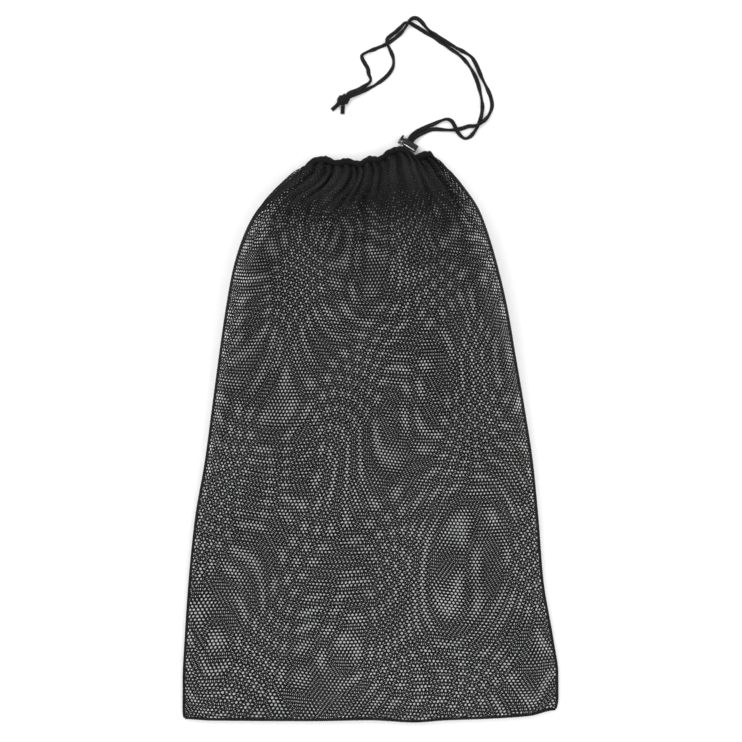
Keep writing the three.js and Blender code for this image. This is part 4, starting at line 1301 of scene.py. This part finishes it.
@dataclass
class Cord:
    """Braided drawcord: its free strands, the length in the hem, the end knot and the cut tails."""

    finish: Material
    diameter: float = CORD_DIAMETER
    core: float = 1.0
    crown: float = 1.09
    picks: int = 7
    pick_row: float = 1.3
    core_sides: int = 12
    paces: tuple = (97.0, 231.0)
    onset: float = 60.0
    lowest: float = 0.1
    wider: float = 0.42
    thinner: float = -0.06
    knot_place: tuple = (-32.3, 401.2, 5.0)
    knot_degrees: float = 214.7
    knot_size: tuple = (16.0, 10.0, 8.0)
    turn_radius: tuple = (4.7, 3.3)
    turns: float = 2.8
    tails: tuple = (("left_tail", 5.0, 8.4), ("right_tail", 52.0, 6.9))
    tail_length: float = 8.2
    tail_heights: tuple = (1.8, 0.9, 0.0)
    coil_length: float = 10.5
    coil_ends: tuple = ((-8.0, -6.6), (6.2, 7.6))
    into_knot: tuple = (5.0, 1.3)
    on_strand: list = field(default_factory=list)

    def pick_ring(self) -> Object:
        """Builds two staggered rows of braid picks round the cord, the unit that the tree repeats."""
        points, faces = [], []
        radius = self.diameter / 2
        wide = math.pi * 2 / self.picks * 0.5
        # Corners of one pick: along, across and whether it is on the crown.
        shape = [(-1, 0, 0), (-0.45, -1, 0), (0.45, -1, 0), (1, 0, 0), (0.45, 1, 0), (-0.45, 1, 0)]
        shape += [(-0.4, 0, 1), (0.4, 0, 1)]
        tops = [(0, 1, 6), (0, 6, 5), (1, 2, 7, 6), (5, 6, 7, 4), (2, 3, 7), (3, 4, 7)]
        bottom = [(5, 4, 3, 2), (0, 5, 2, 1)]
        for row, slant in ((0, 0.5), (1, -0.5)):
            for k in range(self.picks):
                mid = 2 * math.pi * (k + 0.5 * row) / self.picks
                start = len(points)
                for along, across, high in shape:
                    angle = mid + across * wide * 0.62 + along * slant * wide
                    r = radius * (self.crown if high else self.core - 0.03)
                    z = (row - 0.5) * self.pick_row + along * self.pick_row * 0.72
                    points.append((math.cos(angle) * r, math.sin(angle) * r, z))
                faces += [tuple(start + i for i in f) for f in tops + bottom]
        return mesh_object("braid_picks", np.array(points) * MM, faces)

    def tree(self) -> NodeTree:
        """Builds the tree that sweeps the core and sets the picks along a route."""
        t = Tree("braided_cord")
        (picks,), (sides,) = t.add_inputs("Object", "Picks"), t.add_inputs("Int", "Sides")
        radius, step, twist = t.add_inputs("Float", "Core radius", "Step", "Twist")
        curve = t.node("MeshToCurve", {0: t.source}).outputs[0]
        even = t.node("ResampleCurve", {"Curve": curve, "Length": step}, mode="LENGTH").outputs[0]

        # The cord is pressed flat, and its flat side turns slowly about its line.
        length = t.node("SplineParameter").outputs["Length"]
        waves = [t.math("SINE", t.times(length, pace)) for pace in self.paces]
        onset = t.math("MINIMUM", t.over(length, self.onset * MM), 1.0)
        turning = t.plus(waves[0], t.times(waves[1], 0.5))
        angle = t.times(t.times(turning, onset), twist)
        line = t.node("InputTangent").outputs[0]
        level = t.vector_math("CROSS_PRODUCT", t.vector(0.0, 0.0, 1.0), line)
        level = t.vector_math("NORMALIZE", level, (0.0, 0.0, 0.0))
        links = {"Vector": level, "Axis": line, "Angle": angle}
        flat_way = t.node("ShaderNodeVectorRotate", links, rotation_type="AXIS_ANGLE").outputs[0]
        for name, value in (("spot", t.position()), ("flat_way", flat_way), ("line", line)):
            even = t.store(even, name, value)

        points = t.node("CurveToPoints", {"Curve": even}, mode="EVALUATED").outputs
        whole = t.node("JoinGeometry")
        for part in (t.swept(even, sides, radius), t.copies(points["Points"], picks, points["Rotation"])):
            t.group.links.new(part, whole.inputs[0])
        joined = t.node("RealizeInstances", {0: whole.outputs[0]}).outputs[0]
        spot, flat_way, line = (t.named(name) for name in ("spot", "flat_way", "line"))
        arm = t.between(t.position(), spot)
        pressed = t.position()
        thin_way = t.vector_math("CROSS_PRODUCT", flat_way, line)
        for way, change in ((flat_way, self.wider), (thin_way, self.thinner)):
            share = t.node("ShaderNodeVectorMath", {0: arm, 1: way}, operation="DOT_PRODUCT").outputs["Value"]
            grown = t.scaled(way, t.times(share, change))
            pressed = t.joined(pressed, grown)
        parts = t.parts(pressed)
        pressed = t.vector(parts[0], parts[1], t.math("MAXIMUM", parts[2], self.lowest * MM))
        return t.finish(t.moved(joined, pressed))

    def sweep(self, name: str, route: np.ndarray, twist: float = 1.0) -> Object:
        """Braids cord along a route.

        Args:
            name: Name of the piece.
            route: Points close together, in millimetres.
            twist: How far the pressed cord turns about its line, in radians.

        Returns:
            The cord as a plain mesh.
        """
        tree = bpy.data.node_groups.get("braided_cord") or self.tree()
        picks = bpy.data.objects.get("braid_picks") or self.pick_ring()
        values = {
            "Finish": self.finish,
            "Picks": picks,
            "Core radius": self.diameter / 2 * self.core * MM,
            "Step": 2 * self.pick_row * MM,
            "Sides": self.core_sides,
            "Twist": twist,
        }
        return run_tree(line_object(name, route), tree, values, name)

    def knot_body(self, place: np.ndarray, axis: np.ndarray, across: np.ndarray) -> Object:
        """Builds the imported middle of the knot, which fills the space between its turns.

        Args:
            place: The knot's middle.
            axis: Its length's direction.
            across: Its width's direction.

        Returns:
            The piece.
        """
        turn = np.linspace(0.03, math.pi - 0.03, 28)[:, None]
        angle = np.linspace(0, 2 * math.pi, 32, endpoint=False)[None, :]
        lumps = 1 + 0.1 * np.cos(2 * self.turns * turn - angle) + 0.04 * np.sin(5 * turn + 3 * angle)
        long, wide, high = (size / 2 for size in self.knot_size)
        bulge = np.sin(turn) * lumps * (1 + 0.12 * np.cos(turn))
        points = (
            place
            + (-np.cos(turn) * long * np.ones_like(angle))[..., None] * axis
            + (np.cos(angle) * bulge * wide)[..., None] * across
            + (np.sin(angle) * bulge * high + 0.2)[..., None] * UP
        )
        return closed_tube("knot_core", points, self.finish)

    def knot_coil(self, place: np.ndarray, axis: np.ndarray, across: np.ndarray) -> np.ndarray:
        """Route of the cord round the knot, from where the strands come in to where the tails go out."""
        turn = np.linspace(0, 1, 72)[::4]
        angle = 2 * math.pi * self.turns * turn + 0.6
        swell = 0.62 + 0.42 * np.sin(math.pi * (0.12 + 0.8 * turn))
        helix = (
            place
            + np.outer((turn - 0.5) * self.coil_length, axis)
            + np.outer(np.cos(angle) * self.turn_radius[0] * swell, across)
            + np.outer(np.sin(angle) * self.turn_radius[1] * swell + 0.3, UP)
        )
        start, end = ([place + axis * reach for reach in pair] for pair in self.coil_ends)
        return smooth_route(np.vstack([start, helix, end]), 1.0)

    def tail(self, name: str, place: np.ndarray, direction: np.ndarray) -> Object:
        """Builds a cut tail from a place on the knot down to the floor."""
        share = np.array([0.0, 0.45, 1.0])[:, None]
        route = place + direction * self.tail_length * share
        route[:, 2] = CORD_LOW + np.array(self.tail_heights)
        return self.sweep(f"{name}_braid", smooth_route(route, 0.8), 0.0)

    def build(self) -> None:
        """Builds the two free strands, the knot and the tails."""
        knot_place = np.array(self.knot_place)
        axis = turned_by(np.array([1.0, 0.0, 0.0]), math.radians(self.knot_degrees))
        across = np.array([-axis[1], axis[0], 0.0])
        knot = self.sweep("knot_turns", self.knot_coil(knot_place, axis, across), 0.0)
        inside = self.knot_body(knot_place, axis, across)
        tails = []
        for name, degrees, reach in self.tails:
            direction = turned_by(axis, math.radians(degrees))
            tails.append(self.tail(name, knot_place + direction * reach, direction))
        for piece, node in zip((knot, inside, *tails), ("end_knot", "end_knot", "left_tail", "right_tail")):
            dress(piece, node)
        for name, route, side in (("inner_strand", INNER_ROUTE, 1), ("outer_strand", OUTER_ROUTE, -1)):
            into_knot = knot_place - axis * self.into_knot[0] + across * side * self.into_knot[1]
            path = smooth_route(np.vstack([laid_route(route), into_knot]), 1.0)
            piece = self.sweep(f"{name}_braid", path)
            dress(piece, name)


@dataclass
class HemCord:
    """The length of drawcord that runs round inside the hem and through the lock."""

    finish: Material
    node: str = "tunnel_cord"

    def build(self) -> None:
        """Dresses the cord's own solid, which lies inside the hem."""
        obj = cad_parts[self.node]
        obj.data.materials.clear()
        obj.data.materials.append(self.finish)


@dataclass
class Lock:
    """Sprung cord lock of two glossy mouldings turned about its axis, with a slot through both for the cord."""

    finish: Material
    hole: tuple = (44.5, 349.2, 5.8)
    angle: float = math.radians(-33)
    mouth: float = -6.2
    barrel_length: float = 18.5
    radius: float = 4.7
    bore: float = 3.6
    floor: float = 1.8
    flange_radius: float = 5.9
    flange_in: float = -8.8
    flange_out: float = -11.2
    dome: float = 0.5
    stem_radius: float = 3.3
    stem_foot: float = 5.8
    edge: float = 0.75
    slot_wide: float = 3.9
    slot_half: float = 3.8
    travel: float = 2.4
    sides: int = 72
    cut_reach: float = 12.0
    sharp_degrees: float = 38.0

    def rounded(self, profile: list) -> list:
        """Rounds the corners of a profile.

        Args:
            profile: Corners as place along the axis, radius and size of the rounding.

        Returns:
            Points as place along the axis and radius.
        """
        out = []
        corners = np.array([p[:2] for p in profile], float)
        for k, (_, _, size) in enumerate(profile):
            here = corners[k]
            if size == 0 or k in (0, len(profile) - 1):
                out.append(here)
                continue
            before, after = unit(corners[k - 1] - here), unit(corners[k + 1] - here)
            out += [here + before * size * (1 - t) ** 2 + after * size * t**2 for t in np.linspace(0, 1, 6)]
        return out

    def turned(self, name: str, profile: list) -> Object:
        """Turns a profile that starts and ends on the lock's axis.

        Args:
            name: Name of the piece.
            profile: Points as place along the axis and radius.

        Returns:
            The piece, in place.
        """
        turn = np.linspace(0, 2 * math.pi, self.sides, endpoint=False)
        along, radius = np.array(profile[1:-1]).T[..., None]
        local = np.stack(np.broadcast_arrays(along, radius * np.cos(turn), radius * np.sin(turn)), axis=2)
        rows, poles = len(along), len(along) * self.sides
        faces = grid_faces(rows, self.sides, wrap=True)
        for pole, start in ((poles, 0), (poles + 1, (rows - 1) * self.sides)):
            faces += [(start + k, start + (k + 1) % self.sides, pole) for k in range(self.sides)]
        ends = np.array([(profile[0][0], 0.0, 0.0), (profile[-1][0], 0.0, 0.0)])
        points = np.vstack([local.reshape(-1, 3), ends])
        return mesh_object(name, self.in_place(points) * MM, faces, self.finish)

    def in_place(self, local: np.ndarray) -> np.ndarray:
        """Moves points from the lock's own axis, through its hole, to their place on the bag."""
        return turned_by(local, self.angle) + np.array(self.hole)

    def slotted(self, piece: Object, low: float, high: float) -> Object:
        """Cuts the cord's slot through a piece, from one place along its axis to another."""
        half = self.slot_wide / 2
        turn = np.linspace(math.pi / 2, 3 * math.pi / 2, 13)
        ends = [(low + half + half * math.cos(a), half * math.sin(a)) for a in turn]
        ends += [(high - half - half * math.cos(a), -half * math.sin(a)) for a in turn]
        count = len(ends)
        local = np.array([(x, y, z) for y in (-self.cut_reach, self.cut_reach) for x, z in ends])
        faces = [(k, (k + 1) % count, count + (k + 1) % count, count + k) for k in range(count)]
        faces += [tuple(range(count))[::-1], tuple(range(count, 2 * count))]
        cutter = mesh_object("slot_cutter", self.in_place(local) * MM, faces)
        for obj in (piece, cutter):
            tidy_normals(obj)
        cut = piece.modifiers.new("slot", "BOOLEAN")
        cut.operation, cut.solver, cut.object = "DIFFERENCE", "EXACT", cutter
        done = baked(piece, piece.name.removesuffix("_blank"), self.finish)
        bpy.data.objects.remove(cutter)
        done.data.shade_smooth()
        done.data.set_sharp_from_angle(angle=math.radians(self.sharp_degrees))
        return done

    def build(self) -> list:
        """Builds the barrel and the plunger and returns them."""
        foot = self.mouth + self.barrel_length
        barrel = [
            (foot - self.floor, 0, 0), (foot - self.floor, self.bore, 0), (self.mouth, self.bore, 0),
            (self.mouth, self.radius, self.edge / 2), (foot, self.radius, self.edge), (foot, 0, 0),
        ]  # fmt: skip
        plunger = [
            (self.flange_out - self.dome, 0, 0), (self.flange_out, self.flange_radius, self.edge),
            (self.flange_in, self.flange_radius, self.edge), (self.flange_in, self.stem_radius, 0),
            (self.stem_foot, self.stem_radius, 0), (self.stem_foot, 0, 0),
        ]  # fmt: skip
        reach = self.slot_half
        parts = (
            ("lock_barrel", barrel, -reach, reach, "root"),
            ("lock_plunger", plunger, -reach - self.travel, reach, "plunger"),
        )
        pieces = []
        for node, profile, low, high, body in parts:
            blank = self.turned(f"{node}_moulding_blank", self.rounded(profile))
            piece = self.slotted(blank, low, high)
            dress(piece, node, body)
            pieces.append(piece)
        return pieces


# Studio


@dataclass
class Studio:
    """Pale floor, soft light and a camera straight above. Lamps and their targets are in metres."""

    view_side: float = IMAGE_SIDE * MM_A_PIXEL
    centre: tuple = (0.6, 80.2)
    lens: float = 100.0
    sensor: float = 36.0
    level: float = 15.0
    floor_side: float = 3.0
    floor_at: float = -0.0002
    bag: tuple = (0.0, 0.05, 0.0)
    lock: tuple = (0.0445, 0.3492, 0.006)
    lit_by_strip: list = field(default_factory=list)

    def build(self) -> None:
        """Builds the floor, the lights and the camera."""
        scene = bpy.context.scene
        distance = self.view_side * self.lens / self.sensor + self.level
        data = bpy.data.cameras.new("camera")
        data.lens, data.sensor_width, data.clip_end = self.lens, self.sensor, 20
        camera = bpy.data.objects.new("camera", data)
        camera.location = (self.centre[0] * MM, self.centre[1] * MM, distance * MM)
        scene.collection.objects.link(camera)
        scene.camera = camera
        floor_finish = Shader("studio_floor")
        floor_finish.set(Base_Color=(0.93, 0.93, 0.93, 1), Roughness=0.9, Specular_IOR_Level=0.1)
        corners = [(-1, -1), (1, -1), (1, 1), (-1, 1)]
        points = np.array([(x * self.floor_side, y * self.floor_side, self.floor_at) for x, y in corners])
        mesh_object("studio_floor", points, [(0, 1, 2, 3)], floor_finish.material)
        world = bpy.data.worlds.new("studio")
        world.use_nodes = True
        sky = world.node_tree.nodes["Background"].inputs
        sky[0].default_value, sky[1].default_value = (1, 1, 1, 1), 1.0
        scene.world = world
        scene.view_settings.view_transform = "Standard"
        scene.view_settings.look = "None"
        self.lamp("key_light", (-0.7, 0.9, 1.7), (1.4, 1.4), 14, self.bag)
        self.lamp("fill_light", (0.9, -0.3, 1.8), (1.4, 1.4), 9, self.bag)
        strip = self.lamp("strip_light", (-0.894, -0.963, 1.013), (0.34, 2.1), 115, self.lock)
        receivers = bpy.data.collections.new("lit_by_strip")
        for piece in self.lit_by_strip:
            receivers.objects.link(piece)
        strip.light_linking.receiver_collection = receivers

    def lamp(self, name: str, place: tuple, size: tuple, power: float, target: tuple) -> Object:
        """Adds a soft lamp that looks at a target, with its second side in the upright plane, and returns it."""
        data = bpy.data.lights.new(name, "AREA")
        data.shape = "RECTANGLE"
        data.size, data.size_y, data.energy = *size, power
        obj = bpy.data.objects.new(name, data)
        obj.location = place
        obj.rotation_euler = (Vector(target) - Vector(place)).to_track_quat("-Z", "Y").to_euler()
        bpy.context.scene.collection.objects.link(obj)
        return obj


def main() -> None:
    """Builds the scene piece by piece."""
    logging.basicConfig(level=logging.INFO, format="%(name)s %(message)s")
    net_finish = KnitFinish("black_net").build()
    tape_finish = KnitFinish("black_seam", light=(0.014, 0.014, 0.0145), sheen=0.03).build()
    braid = BraidFinish("black_braid").build()
    moulded = MouldedFinish("black_moulding").build()
    lock_pieces = Lock(moulded).build()
    Studio(lit_by_strip=lock_pieces).build()
    Cord(braid, on_strand=lock_pieces).build()
    HemCord(braid).build()
    form, net = BagForm(), Net()
    Panels(form, net, net_finish).build()
    Hem(form, net, net_finish, tape_finish).build()
    Seams(form, tape_finish).build()
    for helper in ("net_hole", "braid_picks"):
        bpy.data.objects.remove(bpy.data.objects[helper])
    bpy.context.view_layer.update()


if __name__ == "__main__":
    main()
